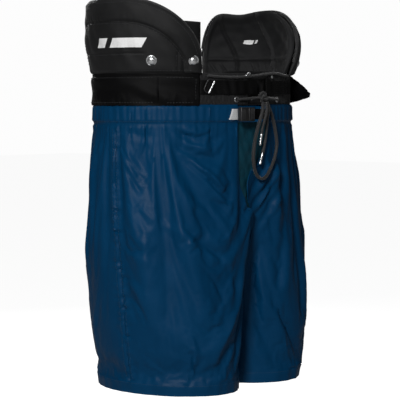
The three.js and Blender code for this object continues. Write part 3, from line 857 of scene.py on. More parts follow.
RIGHT_FOLDS = (
    Fold(((46, -0.101), (36, -0.125), (28, -0.150), (19, -0.178)), -0.0075, 0.0044),
    Fold(((46, -0.097), (36, -0.098), (26, -0.116), (20, -0.150)), -0.0052, 0.0042),
    Fold(((40, -0.110), (31, -0.122), (24, -0.148)), 0.0060, 0.013),
    Fold(((54, -0.050), (46, -0.067), (36, -0.069), (28, -0.057)), -0.0038, 0.0035),
    Fold(((53, -0.073), (46, -0.088), (37, -0.089)), -0.0035, 0.0040),
    Fold(((84, -0.082), (77, -0.106), (70, -0.130)), -0.0040, 0.0036),
    Fold(((80, -0.112), (75, -0.136), (70, -0.160)), -0.0030, 0.0034),
    Fold(((34, -0.158), (27, -0.184), (20, -0.222)), -0.0085, 0.0070),
    Fold(((53, -0.211), (44, -0.229)), -0.0022, 0.0022),
    Fold(((43, -0.209), (52, -0.232)), -0.0022, 0.0022),
    Fold(((56, -0.221), (41, -0.219)), -0.0020, 0.0022),
    Fold(((45, -0.258), (38, -0.288), (34, -0.332)), -0.0038, 0.0050),
    Fold(((41, -0.222), (31, -0.258), (24, -0.300)), -0.0042, 0.0060),
    Fold(((58, -0.348), (57, -0.395), (59, -0.448)), -0.0024, 0.0022),
    Fold(((88, -0.222), (80, -0.236), (72, -0.232)), -0.0024, 0.0028),
    Fold(((88, -0.300), (80, -0.318), (76, -0.346)), -0.0026, 0.0030),
    Fold(((52, -0.050), (40, -0.060), (28, -0.052)), 0.0040, 0.006, 0.3),
    Fold(((54, -0.064), (43, -0.082), (30, -0.086), (22, -0.076)), 0.0050, 0.007, 0.4),
    Fold(((50, -0.092), (42, -0.104), (32, -0.128), (23, -0.165)), 0.0065, 0.009, 0.5),
    Fold(((62, -0.080), (56, -0.118), (46, -0.160), (34, -0.196)), 0.0045, 0.010, 0.3),
    Fold(((80, -0.088), (75, -0.112), (66, -0.136)), 0.0045, 0.008, 0.4),
    Fold(((84, -0.066), (70, -0.078), (60, -0.078)), 0.0030, 0.007, 0.3),
    Fold(((78, -0.150), (68, -0.185), (60, -0.205)), 0.0035, 0.009, -0.3),
    Fold(((60, -0.196), (50, -0.218), (44, -0.240)), 0.0050, 0.007, 0.3),
    Fold(((40, -0.200), (48, -0.220), (56, -0.238)), 0.0040, 0.006, -0.3),
    Fold(((48, -0.222), (38, -0.246), (26, -0.256)), 0.0040, 0.008, 0.3),
    Fold(((86, -0.205), (74, -0.222), (64, -0.224)), 0.0035, 0.007, 0.3),
    Fold(((86, -0.240), (74, -0.250), (60, -0.262)), 0.0035, 0.008, 0.2),
    Fold(((86, -0.284), (76, -0.300), (66, -0.330)), 0.0035, 0.009, 0.2),
    Fold(((57, -0.352), (56, -0.392), (58, -0.430)), 0.0050, 0.007, 0.5),
    Fold(((46, -0.300), (42, -0.345), (44, -0.400)), 0.0040, 0.010, 0.3),
    Fold(((70, -0.340), (72, -0.385), (70, -0.425)), 0.0035, 0.008, -0.2),
    Fold(((28, -0.250), (30, -0.310), (34, -0.380)), 0.0045, 0.010, 0.2),
    Fold(((18, -0.225), (20, -0.280), (26, -0.340), (30, -0.410)), 0.0040, 0.009, 0.0),
    Fold(((100, -0.070), (112, -0.110), (120, -0.160)), 0.0045, 0.009, 0.3),
    Fold(((128, -0.062), (134, -0.110), (130, -0.165)), 0.0045, 0.010, 0.3),
    Fold(((150, -0.070), (158, -0.120), (152, -0.180), (138, -0.215)), 0.0050, 0.010, 0.3),
    Fold(((170, -0.170), (155, -0.215), (135, -0.250)), 0.0055, 0.010, 0.4),
    Fold(((172, -0.200), (160, -0.245), (145, -0.290)), 0.0045, 0.009, 0.3),
    Fold(((110, -0.225), (126, -0.262), (140, -0.330)), 0.0040, 0.010, 0.2),
    Fold(((104, -0.300), (112, -0.350), (114, -0.420)), 0.0045, 0.008, 0.2),
    Fold(((140, -0.330), (144, -0.380), (142, -0.430)), 0.0045, 0.009, 0.3),
)
LEFT_FOLDS = (
    Fold(((5, -0.124), (-3, -0.156), (-11, -0.188)), -0.0050, 0.0036),
    Fold(((13, -0.126), (5, -0.168), (-3, -0.208)), -0.0055, 0.0042),
    Fold(((22, -0.100), (18, -0.150), (9, -0.205)), -0.0045, 0.0050),
    Fold(((7, -0.230), (4, -0.280), (6, -0.340)), -0.0050, 0.0070),
    Fold(((19, -0.190), (19, -0.250), (20, -0.320)), -0.0050, 0.0070),
    Fold(((30, -0.120), (32, -0.200), (30, -0.290)), -0.0045, 0.0080),
    Fold(((8, -0.108), (2, -0.140), (-8, -0.175)), 0.0075, 0.006, 0.3),
    Fold(((15, -0.108), (7, -0.150), (-3, -0.196)), 0.0070, 0.006, 0.3),
    Fold(((20, -0.130), (12, -0.180), (4, -0.220)), 0.0060, 0.007, 0.3),
    Fold(((14, -0.100), (12, -0.138), (14, -0.190), (12, -0.245)), 0.0060, 0.009, -0.4),
    Fold(((24, -0.060), (22, -0.110), (24, -0.170)), 0.0050, 0.009, 0.3),
    Fold(((12, -0.250), (11, -0.300), (13, -0.360)), 0.0055, 0.009, 0.3),
    Fold(((26, -0.200), (24, -0.270), (22, -0.330), (24, -0.400)), 0.0050, 0.011, 0.2),
    Fold(((36, -0.070), (44, -0.110), (40, -0.170)), 0.0045, 0.009, 0.2),
    Fold(((60, -0.070), (56, -0.120), (46, -0.170)), 0.0045, 0.009, 0.3),
    Fold(((84, -0.090), (74, -0.120), (62, -0.150)), 0.0045, 0.009, 0.3),
    Fold(((78, -0.190), (64, -0.220), (50, -0.240)), 0.0045, 0.009, 0.3),
    Fold(((44, -0.250), (46, -0.320), (42, -0.390)), 0.0050, 0.010, 0.3),
    Fold(((84, -0.260), (74, -0.300), (70, -0.370)), 0.0040, 0.010, 0.2),
    Fold(((60, -0.340), (58, -0.390), (62, -0.435)), 0.0045, 0.008, 0.3),
    Fold(((98, -0.080), (110, -0.120), (114, -0.180)), 0.0045, 0.009, 0.3),
    Fold(((130, -0.065), (136, -0.110), (132, -0.170)), 0.0045, 0.010, 0.3),
    Fold(((152, -0.080), (160, -0.130), (154, -0.190)), 0.0050, 0.010, 0.3),
    Fold(((170, -0.165), (156, -0.210), (136, -0.240)), 0.0055, 0.010, 0.4),
    Fold(((172, -0.205), (160, -0.250), (148, -0.300)), 0.0045, 0.009, 0.3),
    Fold(((104, -0.240), (120, -0.280), (132, -0.340)), 0.0040, 0.010, 0.2),
    Fold(((108, -0.330), (112, -0.380), (110, -0.430)), 0.0045, 0.008, 0.2),
    Fold(((146, -0.330), (142, -0.380), (144, -0.432)), 0.0045, 0.009, 0.3),
)


@dataclass
class ShellHalf:
    """One half of the nylon shell: gathered tunnel, seat and a leg, as one sheet of cloth."""

    side: Side
    fly_edge: float
    folds: tuple[Fold, ...]
    seed: int
    top_z: float = -0.0226
    tunnel_bottom_z: float = -0.0514
    fly_start_z: float = -0.135
    fly_end_z: float = -0.212
    tuck: float = 0.0
    tuck_start_z: float = -0.055
    tuck_end_z: float = -0.160
    hem_band: float = 0.018
    thickness: float = 0.0012
    columns: int = 176
    inner_columns: int = 46
    rows_above: int = 62
    rows_below: int = 86
    side_seam: float = 89.0
    leg_axis_x: float = 0.09
    fullness: float = 0.02
    frames: int = 16
    most_move: float = 0.008
    billow: float = 0.8
    billow_steps: int = 120
    replaced: tuple[str, ...] = (
        "shell_tunnel", "shell_seat_front", "shell_seat_back", "leg_front", "leg_back", "leg_inner", "leg_hem",
    )

    @property
    def name(self) -> str:
        """The name of this half's sheet."""
        return f"shell_{self.side.label}"

    def front_angle(self, z: Array) -> Array:
        """Where the front edge runs: along the fly or under the other side, then on the centre line."""
        under = smooth((self.tuck_start_z - z) / (self.tuck_start_z - self.tuck_end_z))
        edge = mix(self.fly_edge, -self.tuck, under) if self.tuck else self.fly_edge
        return edge * (1.0 - smooth((self.fly_start_z - z) / (self.fly_start_z - self.fly_end_z)))

    def relief(self, angle: Array, z: Array) -> Array:
        """How far the cloth stands out: folds, gathers and puckers.

        Args:
            angle: degrees round this half, from 0 at the front to 180 at the back.
            z: heights.

        Returns:
            the distances.
        """
        arc = angle * ARC_PER_DEGREE
        body = smooth((self.tunnel_bottom_z - z) / 0.018) * smooth((z - FORM.hem_z) / 0.030)
        total = np.zeros(arc.shape)
        for fold in self.folds:
            total += fold.relief(arc, z)
        total += 0.0016 * ripple(arc, z, 9, (0.12, 0.17), self.seed)
        total += 0.0005 * ridged(ripple(arc, z, 8, (0.055, 0.09), self.seed + 1))
        total += 0.00025 * ridged(ripple(arc, z, 8, (0.022, 0.030), self.seed + 2))
        total *= body
        gather = ridged(ripple(arc, z, 6, (0.013, 0.4), self.seed + 3))
        fine = ridged(ripple(arc, z, 6, (0.0085, 0.2), self.seed + 4))
        tunnel = smooth((z - self.tunnel_bottom_z) / 0.005) * smooth((self.top_z - z) / 0.004)
        under = smooth((self.tunnel_bottom_z - z) / 0.003) * (1 - smooth((self.tunnel_bottom_z - z) / 0.045))
        total += (0.0012 * gather + 0.0008 * fine + 0.0018) * tunnel
        total += (0.0016 * gather + 0.0006 * fine) * under
        total -= 0.0014 * np.exp(-(((z - self.tunnel_bottom_z) / 0.0022) ** 2))
        hem_top = FORM.hem_z + self.hem_band
        in_hem = 1 - smooth((z - hem_top) / 0.0015)
        total += in_hem * (0.0009 + 0.0009 * ripple(arc, z, 6, (0.060, 0.3), self.seed + 7))
        total -= 0.0010 * np.exp(-(((z - hem_top) / 0.0014) ** 2))
        return np.clip(total, -0.0045, 0.0115)

    def sewing(self, angle: Array, z: Array) -> Array:
        """The puckers that the thread draws up along the side seam and above the hem.

        Args:
            angle: degrees round this half.
            z: heights.

        Returns:
            how far the cloth stands out there.
        """
        arc = angle * ARC_PER_DEGREE
        body = smooth((self.tunnel_bottom_z - z) / 0.010) * smooth((z - FORM.hem_z) / 0.030)
        off = np.abs(angle - self.side_seam) * ARC_PER_DEGREE
        pucker = ridged(ripple(arc * 0.5 + z * 0.3, z, 7, (0.035, 0.0115), self.seed + 5))
        low_down = mix(0.45, 1.0, smooth((-0.150 - z) / 0.06))
        total = body * low_down * 0.0024 * pucker * np.exp(-((off / 0.011) ** 2))
        raised = 0.0011 * np.exp(-(((off - 0.0034) / 0.0016) ** 2))
        total += body * (raised - 0.0016 * np.exp(-((off / 0.0013) ** 2)))
        hem_top = FORM.hem_z + self.hem_band
        above = smooth((z - hem_top) / 0.002) * (1 - smooth((z - hem_top) / 0.024))
        gather = ridged(ripple(arc, z, 7, (0.015, 0.10), self.seed + 6))
        uneven = 0.5 + 0.5 * ripple(arc, 0 * z, 4, (0.09, 0.09), self.seed + 8)
        return total + 0.0017 * gather * above * np.clip(uneven, 0.2, 1.4)

    def outer(self) -> bpy.types.Object:
        """The front, side and back of this half."""
        shift = self.rows_above / (self.rows_above + self.rows_below)
        edges = FORM.leg_edge(0.0), FORM.leg_edge(180.0)

        def place(u: Array, v: Array, _: Array) -> Array:
            """Points from shares round the half and down it."""
            middle = mix(edges[0], edges[1], u)
            z = np.where(
                v < shift,
                mix(self.top_z, middle, np.clip(v / shift, 0, 1)),
                mix(middle, FORM.hem_z, np.clip((v - shift) / (1 - shift), 0, 1)),
            )
            angle = mix(self.front_angle(z), 180.0, u)
            lift = self.relief(angle, z) * (1 - 0.8 * (u < 1e-6))
            tucked = smooth((2.0 - angle) / 5.0) * (angle < 5.0) * bool(self.tuck)
            lift = mix(lift, -0.0034 + 0.35 * lift, tucked)
            point, _ = FORM.surface(angle, z, lift)
            centre = FORM.surface(np.where(u < 0.5, 0.0, 180.0), z)[0][:, 0]
            close = np.clip(1 - np.minimum(angle, 180.0 - angle) / 14.0, 0, 1)
            close = close * smooth((z - middle + 0.030) / 0.030)
            point[:, 0] -= centre * close * np.where((u < 0.5) & (np.abs(self.front_angle(z)) > 0.5), 0.0, 1.0)
            self._weave.append(np.stack([angle * ARC_PER_DEGREE, z, 0 * z], -1))
            return point

        self._weave: list[Array] = []
        piece = shaped(unit_grid(self.name, self.columns, self.rows_above + self.rows_below), place)
        mark(piece, "weave", self._weave[0])
        return piece

    def inner(self) -> bpy.types.Object:
        """The inside of the leg, from the seam between the legs to the hem."""

        def place(u: Array, v: Array, _: Array) -> Array:
            """Points from shares across the panel and down it."""

            def depth(z: Array) -> Array:
                """How far back the panel is at each height."""
                return mix(FORM.surface(0.0, z)[0][:, 1], FORM.surface(180.0, z)[0][:, 1], u)

            top = np.full(u.shape, FORM.crotch_z)
            for _ in range(40):
                top = mix(top, FORM.crotch_height(depth(top)), 0.5)
            z = mix(top, FORM.hem_z, v)
            lift = self.relief(180.0 + 90.0 * u, z) * np.sin(math.pi * np.clip(u, 0, 1)) ** 0.5
            edge = mix(FORM.surface(0.0, z)[0][:, 0], FORM.surface(180.0, z)[0][:, 0], u)
            inward = np.clip(lift, -0.004, 0.0) + 0.3 * np.clip(lift, 0.0, 0.01)
            x = edge * smooth((top - z) / 0.020) + np.minimum(inward, 0.002) * smooth((top - z) / 0.030)
            self._weave.append(np.stack([(180.0 + 90.0 * u) * ARC_PER_DEGREE, z, 0 * z], -1))
            return np.stack([x, depth(z), z], -1)

        self._weave = []
        piece = shaped(unit_grid(self.name + "_inner", self.inner_columns, self.rows_below), place)
        mark(piece, "weave", self._weave[0])
        return piece

    def settle(self, cloth: bpy.types.Object) -> None:
        """Lets the cloth, cut a little full, buckle between its waist and its hem.

        Args:
            cloth: the single sheet, before it is given its thickness.
        """
        before = points_of(cloth)
        z = before[:, 2]
        hem_top = FORM.hem_z + self.hem_band
        crotch = (np.abs(before[:, 0]) < 0.016) & (z < -0.12)
        held = cloth.vertex_groups.new(name="held")
        keep = np.nonzero((z > self.tunnel_bottom_z) | (z < hem_top) | crotch)[0]
        held.add([int(k) for k in keep], 1.0, "REPLACE")
        activate(cloth)
        modifier = cloth.modifiers.new("cloth", "CLOTH")
        settings = modifier.settings
        settings.quality = 5
        settings.mass = 0.12
        settings.tension_stiffness = 25.0
        settings.compression_stiffness = 25.0
        settings.shear_stiffness = 8.0
        settings.bending_stiffness = 0.25
        settings.vertex_group_mass = "held"
        settings.shrink_min = -self.fullness
        settings.use_pressure = True
        settings.uniform_pressure_force = 0.4
        settings.effector_weights.gravity = 0.3
        modifier.collision_settings.use_collision = False
        modifier.point_cache.frame_end = self.frames
        for frame in range(1, self.frames + 1):
            bpy.context.scene.frame_set(frame)
        bpy.ops.object.modifier_apply(modifier=modifier.name)
        bpy.context.scene.frame_set(1)
        move = points_of(cloth) - before
        LOG.info("%s: moved %.1f mm at most", self.name, 1000 * np.abs(move).max())
        move -= self.billow * spread_out(cloth, move, self.billow_steps)
        move *= (0.45 + 0.55 * smooth((z - hem_top) / 0.09))[:, None]
        far = np.linalg.norm(move, axis=1, keepdims=True)
        move *= np.minimum(1.0, self.most_move / np.maximum(far, 1e-9))
        move_to(cloth, before + move)
        cloth.vertex_groups.clear()

    def sew(self, cloth: bpy.types.Object) -> None:
        """Stitches the tunnel, the side seam and the hem."""
        surface = Surface(cloth)
        turn = self.side.sign
        hem_top = FORM.hem_z + self.hem_band
        rows = []
        for name, place in (
            ("hem", [(a, hem_top - 0.0016) for a in np.linspace(4, 176, 60)]),
            ("side", [(self.side_seam - 1.9, z) for z in np.linspace(-0.056, hem_top + 0.002, 50)]),
            ("side_two", [(self.side_seam + 1.9, z) for z in np.linspace(-0.056, hem_top + 0.002, 50)]),
            ("tunnel", [(a, self.tunnel_bottom_z + 0.0030) for a in np.linspace(self.fly_edge + 2, 178, 60)]),
        ):
            line = catmull([(a * turn, z, 0.0) for a, z in place], 4)
            points, normals = surface.lay(FORM.surface(line[:, 0], line[:, 1], 0.004)[0], 0.0001)
            rows.append(stitches(name, points, normals, length=0.0026, pitch=0.0040, thick=0.00035))
        sewn = joined(f"shell_stitches_{self.side.label}", rows)
        dress(sewn, None, "shell_nylon", NAVY_THREAD)
        bend_at_hip(sewn)

    def build(self) -> bpy.types.Object:
        """Joins the two panels, lets the cloth settle, gives it its thickness and sews it.

        Returns:
            the finished half.
        """
        cloth = joined(self.name, [self.outer(), self.inner()])
        activate(cloth)
        bpy.ops.object.mode_set(mode="EDIT")
        bpy.ops.mesh.select_all(action="SELECT")
        bpy.ops.mesh.remove_doubles(threshold=0.0006)
        bpy.ops.mesh.normals_make_consistent(inside=False)
        bpy.ops.object.mode_set(mode="OBJECT")
        outward = points_of(cloth) - [-self.leg_axis_x, 0.0, 0.0]
        if float((normals_of(cloth) * outward * [1, 1, 0]).sum()) < 0:
            cloth.data.flip_normals()
        if self.side is Side.LEFT:
            move_to(cloth, points_of(cloth) * [-1, 1, 1])
            cloth.data.flip_normals()
        self.settle(cloth)
        sewn_at = marked(cloth, "weave")
        relief = self.sewing(sewn_at[:, 0] / ARC_PER_DEGREE, sewn_at[:, 1])
        move_to(cloth, points_of(cloth) + normals_of(cloth) * relief[:, None])
        area = sum(face.area for face in cloth.data.polygons)
        modify(cloth, "SOLIDIFY", thickness=self.thickness, offset=-1.0)
        shade(cloth, 55.0)
        dress(cloth, None, "shell_nylon", NAVY_NYLON)
        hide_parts(*[f"{node}_{self.side.label}" for node in self.replaced])
        self.sew(cloth)
        bend_at_hip(cloth)
        LOG.info("%s: %.3f square metres of nylon", self.name, area)
        return cloth


# ---- Padded and flat layers round the body ------------------------------------------------

BAND_LOW, BAND_HIGH = -0.024, 0.024
Edge = Callable[[Array], Array]
Swell = Callable[[Array, Array], Array]


def flat(angle: Array, z: Array) -> Array:
    """No relief at all."""
    return np.zeros(np.shape(angle))


def level(height: float) -> Edge:
    """An edge at one height."""
    return lambda angle: np.full(np.shape(angle), height)


@dataclass
class Layer:
    """A closed slab of cloth or padding that follows the garment."""

    name: str
    start: float
    end: float
    low: Edge
    high: Edge
    inner: float
    outer: float
    puff: float = 0.0
    round_u: float = 0.04
    round_v: float = 0.10
    columns: int = 80
    rows: int = 30
    swell: Swell = flat
    detail: Swell = flat
    least: float = 0.25

    def place(self, u: Array, v: Array, w: Array) -> Array:
        """Points of the slab from shares along, up and through it."""
        angle = mix(self.start, self.end, u)
        z = mix(self.low(angle), self.high(angle), v)
        full = np.maximum(rim(u, v, self.round_u, self.round_v), self.least)
        middle = (self.inner + self.outer) / 2
        outer = mix(middle, self.outer, full) + self.puff * full
        offset = np.where(w > 0.5, outer, mix(middle, self.inner, full))
        offset = offset + self.swell(angle, z) + np.where(w > 0.5, 1.0, -0.4) * self.detail(angle, z) * full
        point, _ = FORM.surface(angle, z, offset)
        self._weave = np.stack([angle * ARC_PER_DEGREE, z, 0 * z], -1)
        return point

    def build(self) -> bpy.types.Object:
        """Makes the slab with smooth shading."""
        piece = shaped(unit_slab(self.name + "_cloth", self.columns, self.rows), self.place)
        mark(piece, "weave", self._weave)
        shade(piece, 50.0)
        return piece


def seam_row(
    name: str, on: bpy.types.Object, path: Sequence[tuple[float, float]], offset: float,
    swell: Optional[Swell] = None, **thread: float,
) -> bpy.types.Object:
    """Stitches laid on a piece along (angle, height) places.

    Args:
        name: the new piece's name.
        on: the piece that is sewn.
        path: where the row runs.
        offset: about how far out the cloth is there.
        swell: how the cloth bows there, if it does.
        thread: sizes handed on to the stitches.

    Returns:
        the stitches.
    """
    line = catmull([(a, z, 0.0) for a, z in path], 10)
    bow = swell(line[:, 0], line[:, 1]) if swell else 0.0
    at = FORM.surface(line[:, 0], line[:, 1], offset + bow)[0]
    points, normals = Surface(on).lay(at, 0.0002)
    return stitches(name, points, normals, **thread)


def quilt(seed: int, size: float, depth: float) -> Swell:
    """Soft unevenness of stuffed cloth."""
    return lambda angle, z: depth * ripple(angle * ARC_PER_DEGREE, z, 8, (size, size), seed)


@dataclass
class KidneyPad:
    """The tall padded wing over one hip: sewn cover, plate, ribbed liner, piping and two snap caps."""

    side: Side
    start: float = 36.0
    end: float = 135.0
    peak: float = 86.0
    low_z: float = 0.0228
    tip: float = 0.007
    height: float = 0.109
    cover: tuple[float, float] = (-0.0012, 0.0032)
    plate: tuple[float, float] = (-0.0033, -0.0016)
    liner: tuple[float, float] = (-0.0148, -0.0040)
    piping: float = 0.0024
    snaps: tuple[float, float] = (41.25, 63.75)
    snap_z: float = 0.042
    label_z: float = 0.056
    fold_top: float = 0.110
    arc: float = 0.0026

    @property
    def body(self) -> str:
        """The body that folds with this pad."""
        return f"{self.side.label}_kidney_pad"

    def top(self, angle: Array) -> Array:
        """The height of the pad's upper edge."""
        behind = np.abs(angle) - self.peak
        rear = (1.0 - np.clip(behind / (self.end - self.peak), 0.0, 1.0) ** 12) ** 0.5
        front = (1.0 - np.clip(-behind / (self.peak - self.start), 0.0, 1.0) ** 2.5) ** 0.55
        dip = 0.0
        if self.side is Side.LEFT:
            dip = 0.0045 + 0.0055 * np.exp(-(((np.abs(angle) - 111.0) / 12.0) ** 2))
        return 0.0244 + mix(self.tip, self.height, np.where(behind > 0, rear, front)) - dip

    def plate_top(self, angle: Array) -> Array:
        """The upper edge of the stiff plate, inside the sewn edge."""
        return self.top(angle) - 0.010

    def swell(self, angle: Array, z: Array) -> Array:
        """How far the pad bows out at a height."""
        share = (z - 0.024) / self.height
        if self.side is Side.RIGHT:
            return 0.008 * np.sin(math.pi * share * 0.75)
        return 0.013 * np.sin(math.pi * share) - 0.011 * share**2

    def inset(self, angle: Array, z: Array) -> Array:
        """About how far inside the pad's edge a place is, in metres."""
        step = 0.6
        slope = (self.top(np.abs(angle) + step) - self.top(np.abs(angle) - step)) / (2 * step * self.arc)
        down = (self.top(angle) - z) / np.sqrt(1 + slope**2)
        ends = np.minimum(np.abs(angle) - self.start, self.end - np.abs(angle)) * self.arc
        return np.minimum(down, ends + 0.008)

    def cover_detail(self, angle: Array, z: Array) -> Array:
        """The sewn contour and the rolled edge outside it."""
        deep = self.inset(angle, z)
        groove = -0.0022 * np.exp(-(((deep - 0.034) / 0.0022) ** 2))
        roll = 0.0024 * np.sin(math.pi * np.clip(deep / 0.034, 0, 1))
        inside = 0.0014 * smooth((deep - 0.035) / 0.012)
        low_seam = -0.0012 * np.exp(-(((z - 0.0525) / 0.0016) ** 2)) * smooth((np.abs(angle) - 66) / 4)
        second = -0.0010 * np.exp(-(((np.abs(angle) - 49.5) * self.arc / 0.0016) ** 2))
        second = second * smooth((0.056 - z) / 0.006)
        wave = 0.0007 * ripple(angle * ARC_PER_DEGREE, z, 8, (0.040, 0.040), 71)
        pull = 0.0006 * ridged(ripple(angle * ARC_PER_DEGREE, z * 0.3, 6, (0.013, 0.03), 72))
        pulled = pull * np.exp(-(((deep - 0.032) / 0.008) ** 2))
        return groove + roll + inside + low_seam + second + wave + pulled

    def liner_detail(self, angle: Array, z: Array) -> Array:
        """Ribs and a cross crease on the inner face."""
        total = np.zeros(np.shape(angle))
        for foot, head in ((80.0, 92.0), (112.0, 124.0)):
            line = mix(foot, head, smooth((z - 0.040) / 0.08))
            total += 0.0050 * np.exp(-(((np.abs(angle) - line) * self.arc / 0.0032) ** 2))
        total += 0.0036 * np.exp(-(((z - 0.052) / 0.0030) ** 2))
        deep = self.inset(angle, z)
        total -= 0.0035 * smooth((deep - 0.004) / 0.012)
        total -= 0.0007 * ripple(angle * ARC_PER_DEGREE, z, 8, (0.045, 0.035), 81)
        pulled = ridged(ripple(angle * ARC_PER_DEGREE + 0.8 * z, z * 0.2, 6, (0.016, 0.05), 82))
        total -= 0.0016 * pulled * smooth((0.050 - z) / 0.012)
        return total

    def layer(self, part: str, walls: tuple[float, float], **more: object) -> Layer:
        """One layer of the pad, mirrored for the left side."""
        turn = self.side.sign
        return Layer(
            f"kidney_{part}_{self.side.label}", self.start * turn, self.end * turn, level(self.low_z), self.top,
            walls[0], walls[1], swell=self.swell, **more,
        )

    def finish(self, piece: bpy.types.Object, slot: str, material: bpy.types.Material) -> None:
        """Dresses a piece of the pad and bakes it in place."""
        dress(piece, None, slot, material)
        fold_up(piece)

    def build(self) -> None:
        """Makes the pad and everything on it."""
        label, turn = self.side.label, self.side.sign
        cover = self.layer(
            "cover", self.cover, puff=0.0010, detail=self.cover_detail,
            columns=150, rows=96, round_u=0.03, round_v=0.06,
        ).build()
        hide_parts(f"kidney_cover_{label}")
        self.finish(cover, "padded_black", BLACK_CLOTH)
        plate = self.layer("plate", self.plate, columns=40, rows=24)
        plate.start, plate.end = (self.start + 10) * turn, (self.end - 10) * turn
        plate.high = self.plate_top
        stiff = plate.build()
        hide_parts(f"kidney_plate_{label}")
        self.finish(stiff, "pad_plate", PAD_PLASTIC)
        lining = self.layer("liner", self.liner, columns=150, rows=90, round_u=0.06, round_v=0.14, least=0.12)
        base = lining.place

        def ribbed(u: Array, v: Array, w: Array) -> Array:
            """The lining's points, with the ribs on its inner face."""
            points = base(u, v, w)
            angle = mix(lining.start, lining.end, u)
            z = mix(lining.low(angle), lining.high(angle), v)
            normal = FORM.surface(angle, z)[1]
            full = np.maximum(rim(u, v, 0.06, 0.14), 0.0)
            return points - normal * (self.liner_detail(angle, z) * full * (w < 0.5))[:, None]

        lining.place = ribbed
        soft = lining.build()
        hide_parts(f"kidney_liner_{label}")
        self.finish(soft, "black_mesh", BLACK_LINING)
        angles = np.linspace(self.start + 0.8, self.end - 0.8, 110) * turn
        heights = self.top(angles) - 0.0002
        edge = FORM.surface(angles, heights, 0.0006 + self.swell(angles, heights))[0]
        edge[:, 2] = np.minimum(edge[:, 2], 0.1330 - self.piping)
        cord = sweep(f"kidney_piping_{label}", edge, self.piping, 10)
        self.finish(cord, "padded_black", PIPING)
        self.sew(cover)
        if self.side is Side.RIGHT:
            self.stripes(cover, ((69.0, 90.0, 0.061, 0.075), (94.0, 101.0, 0.061, 0.075)), 3.0)
        else:
            self.stripes(soft, ((-108.0, -101.0, 0.0775, 0.0815), (-99.5, -97.5, 0.0775, 0.0815)), -1.0)
        for place, angle in zip(("front", "rear"), self.snaps):
            self.snap(f"snap_cap_{place}_{label}", angle * turn)

    def sew(self, cover: bpy.types.Object) -> None:
        """Adds the rows of stitches: the contour, beside the piping, and along the base."""
        turn = self.side.sign
        rows = []
        for k, deep in enumerate((0.0365, 0.0062)):
            path = []
            for angle in np.linspace(self.start + 4.5 - 2.6 * k, self.end - 4.5 + 2.6 * k, 40):
                slope = (self.top(angle + 0.6) - self.top(angle - 0.6)) / (1.2 * self.arc)
                drop = deep * math.sqrt(1 + float(slope) ** 2)
                height = float(self.top(angle)) - min(drop, 0.09)
                if height > self.low_z + 0.004:
                    path.append((angle * turn, height))
            rows.append(seam_row(f"stitch_{k}", cover, path, 0.006, self.swell))
        base = [(angle * turn, self.low_z + 0.0045) for angle in np.linspace(self.start + 5, self.end - 5, 24)]
        rows.append(seam_row("stitch_base", cover, base, 0.005, self.swell))
        row = [(angle * turn, 0.0505) for angle in np.linspace(67, 118, 14)]
        rows.append(seam_row("stitch_row", cover, row, 0.006, self.swell))
        if self.side is Side.RIGHT:
            side_line = [(50.6, 0.030), (50.2, 0.042), (50.0, 0.056)]
            rows.append(seam_row("stitch_side", cover, side_line, 0.006, self.swell))
        sewn = joined(f"kidney_stitches_{self.side.label}", rows)
        self.finish(sewn, "padded_black", THREAD)

    def stripes(self, on: bpy.types.Object, places: Sequence[tuple[float, ...]], slant: float) -> None:
        """Prints two plain slanted stripes.

        Args:
            on: the piece they are printed on.
            places: for each, its two end angles and its lower and upper height.
            slant: degrees from its lower to its upper edge.
        """
        surface = Surface(on)
        near = 0.006 if self.side is Side.RIGHT else self.liner[0] - 0.004
        bars = []
        for k, (start, end, low, high) in enumerate(places):
            bar = unit_slab(f"stripe_{k}", 40 if k == 0 else 10, 8)

            def place(u: Array, v: Array, w: Array) -> Array:
                """Points of one stripe, laid on the pad."""
                angle = mix(start, end, u) - slant * v
                z = mix(low, high, v)
                at = FORM.surface(angle, z, near + self.swell(angle, z))[0]
                laid, normal = surface.lay(at, 0.0)
                return laid + normal * mix(-0.0004, 0.0004, w)[:, None]

            bars.append(shaped(bar, place))
        print_piece = joined(f"kidney_stripes_{self.side.label}", bars)
        shade(print_piece, 40.0)
        self.finish(print_piece, "padded_black", WHITE_PRINT)

    def snap(self, name: str, angle: float) -> None:
        """Turns a domed cap with a rolled rim, standing square on the pad."""
        profile = [
            (0.0, 0.0046), (0.0018, 0.0045), (0.0036, 0.0040), (0.0052, 0.0030), (0.0061, 0.0020),
            (0.0065, 0.0016), (0.0070, 0.0019), (0.0076, 0.0017), (0.0080, 0.0009), (0.0080, 0.0001),
            (0.0074, -0.0002), (0.0, -0.0002),
        ]
        around = np.linspace(0, 2 * math.pi, 40, endpoint=False)
        swollen = self.swell(np.array(angle), np.array(self.snap_z))
        foot, normal = FORM.surface(angle, self.snap_z, 0.0042 + swollen)
        above, below = (self.swell(np.array(angle), np.array(z)) for z in (0.050, 0.034))
        rise = float(above - below) / 0.016
        out = np.array([normal[0], normal[1], -rise])
        out /= np.linalg.norm(out)
        across = np.cross(out, [0, 0, 1])
        across /= np.linalg.norm(across)
        up = np.cross(across, out)
        deselect()
        bpy.ops.mesh.primitive_circle_add(vertices=40, radius=0.008, fill_type="NGON")
        cap = named(name + "_dome")
        mesh = bmesh.new()
        rings = []
        for radius, height in profile:
            if radius == 0.0:
                rings.append([mesh.verts.new(foot + out * height)])
            else:
                rings.append([
                    mesh.verts.new(foot + out * height + radius * (math.cos(t) * across + math.sin(t) * up))
                    for t in around
                ])
        for one, two in zip(rings[:-1], rings[1:]):
            for j in range(40):
                k = (j + 1) % 40
                if len(one) == 1:
                    mesh.faces.new((one[0], two[k], two[j]))
                elif len(two) == 1:
                    mesh.faces.new((one[j], one[k], two[0]))
                else:
                    mesh.faces.new((one[j], one[k], two[k], two[j]))
        mesh.to_mesh(cap.data)
        mesh.free()
        face_out(cap)
        shade(cap, 50.0)
        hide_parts(name)
        self.finish(cap, "metal", SILVER)


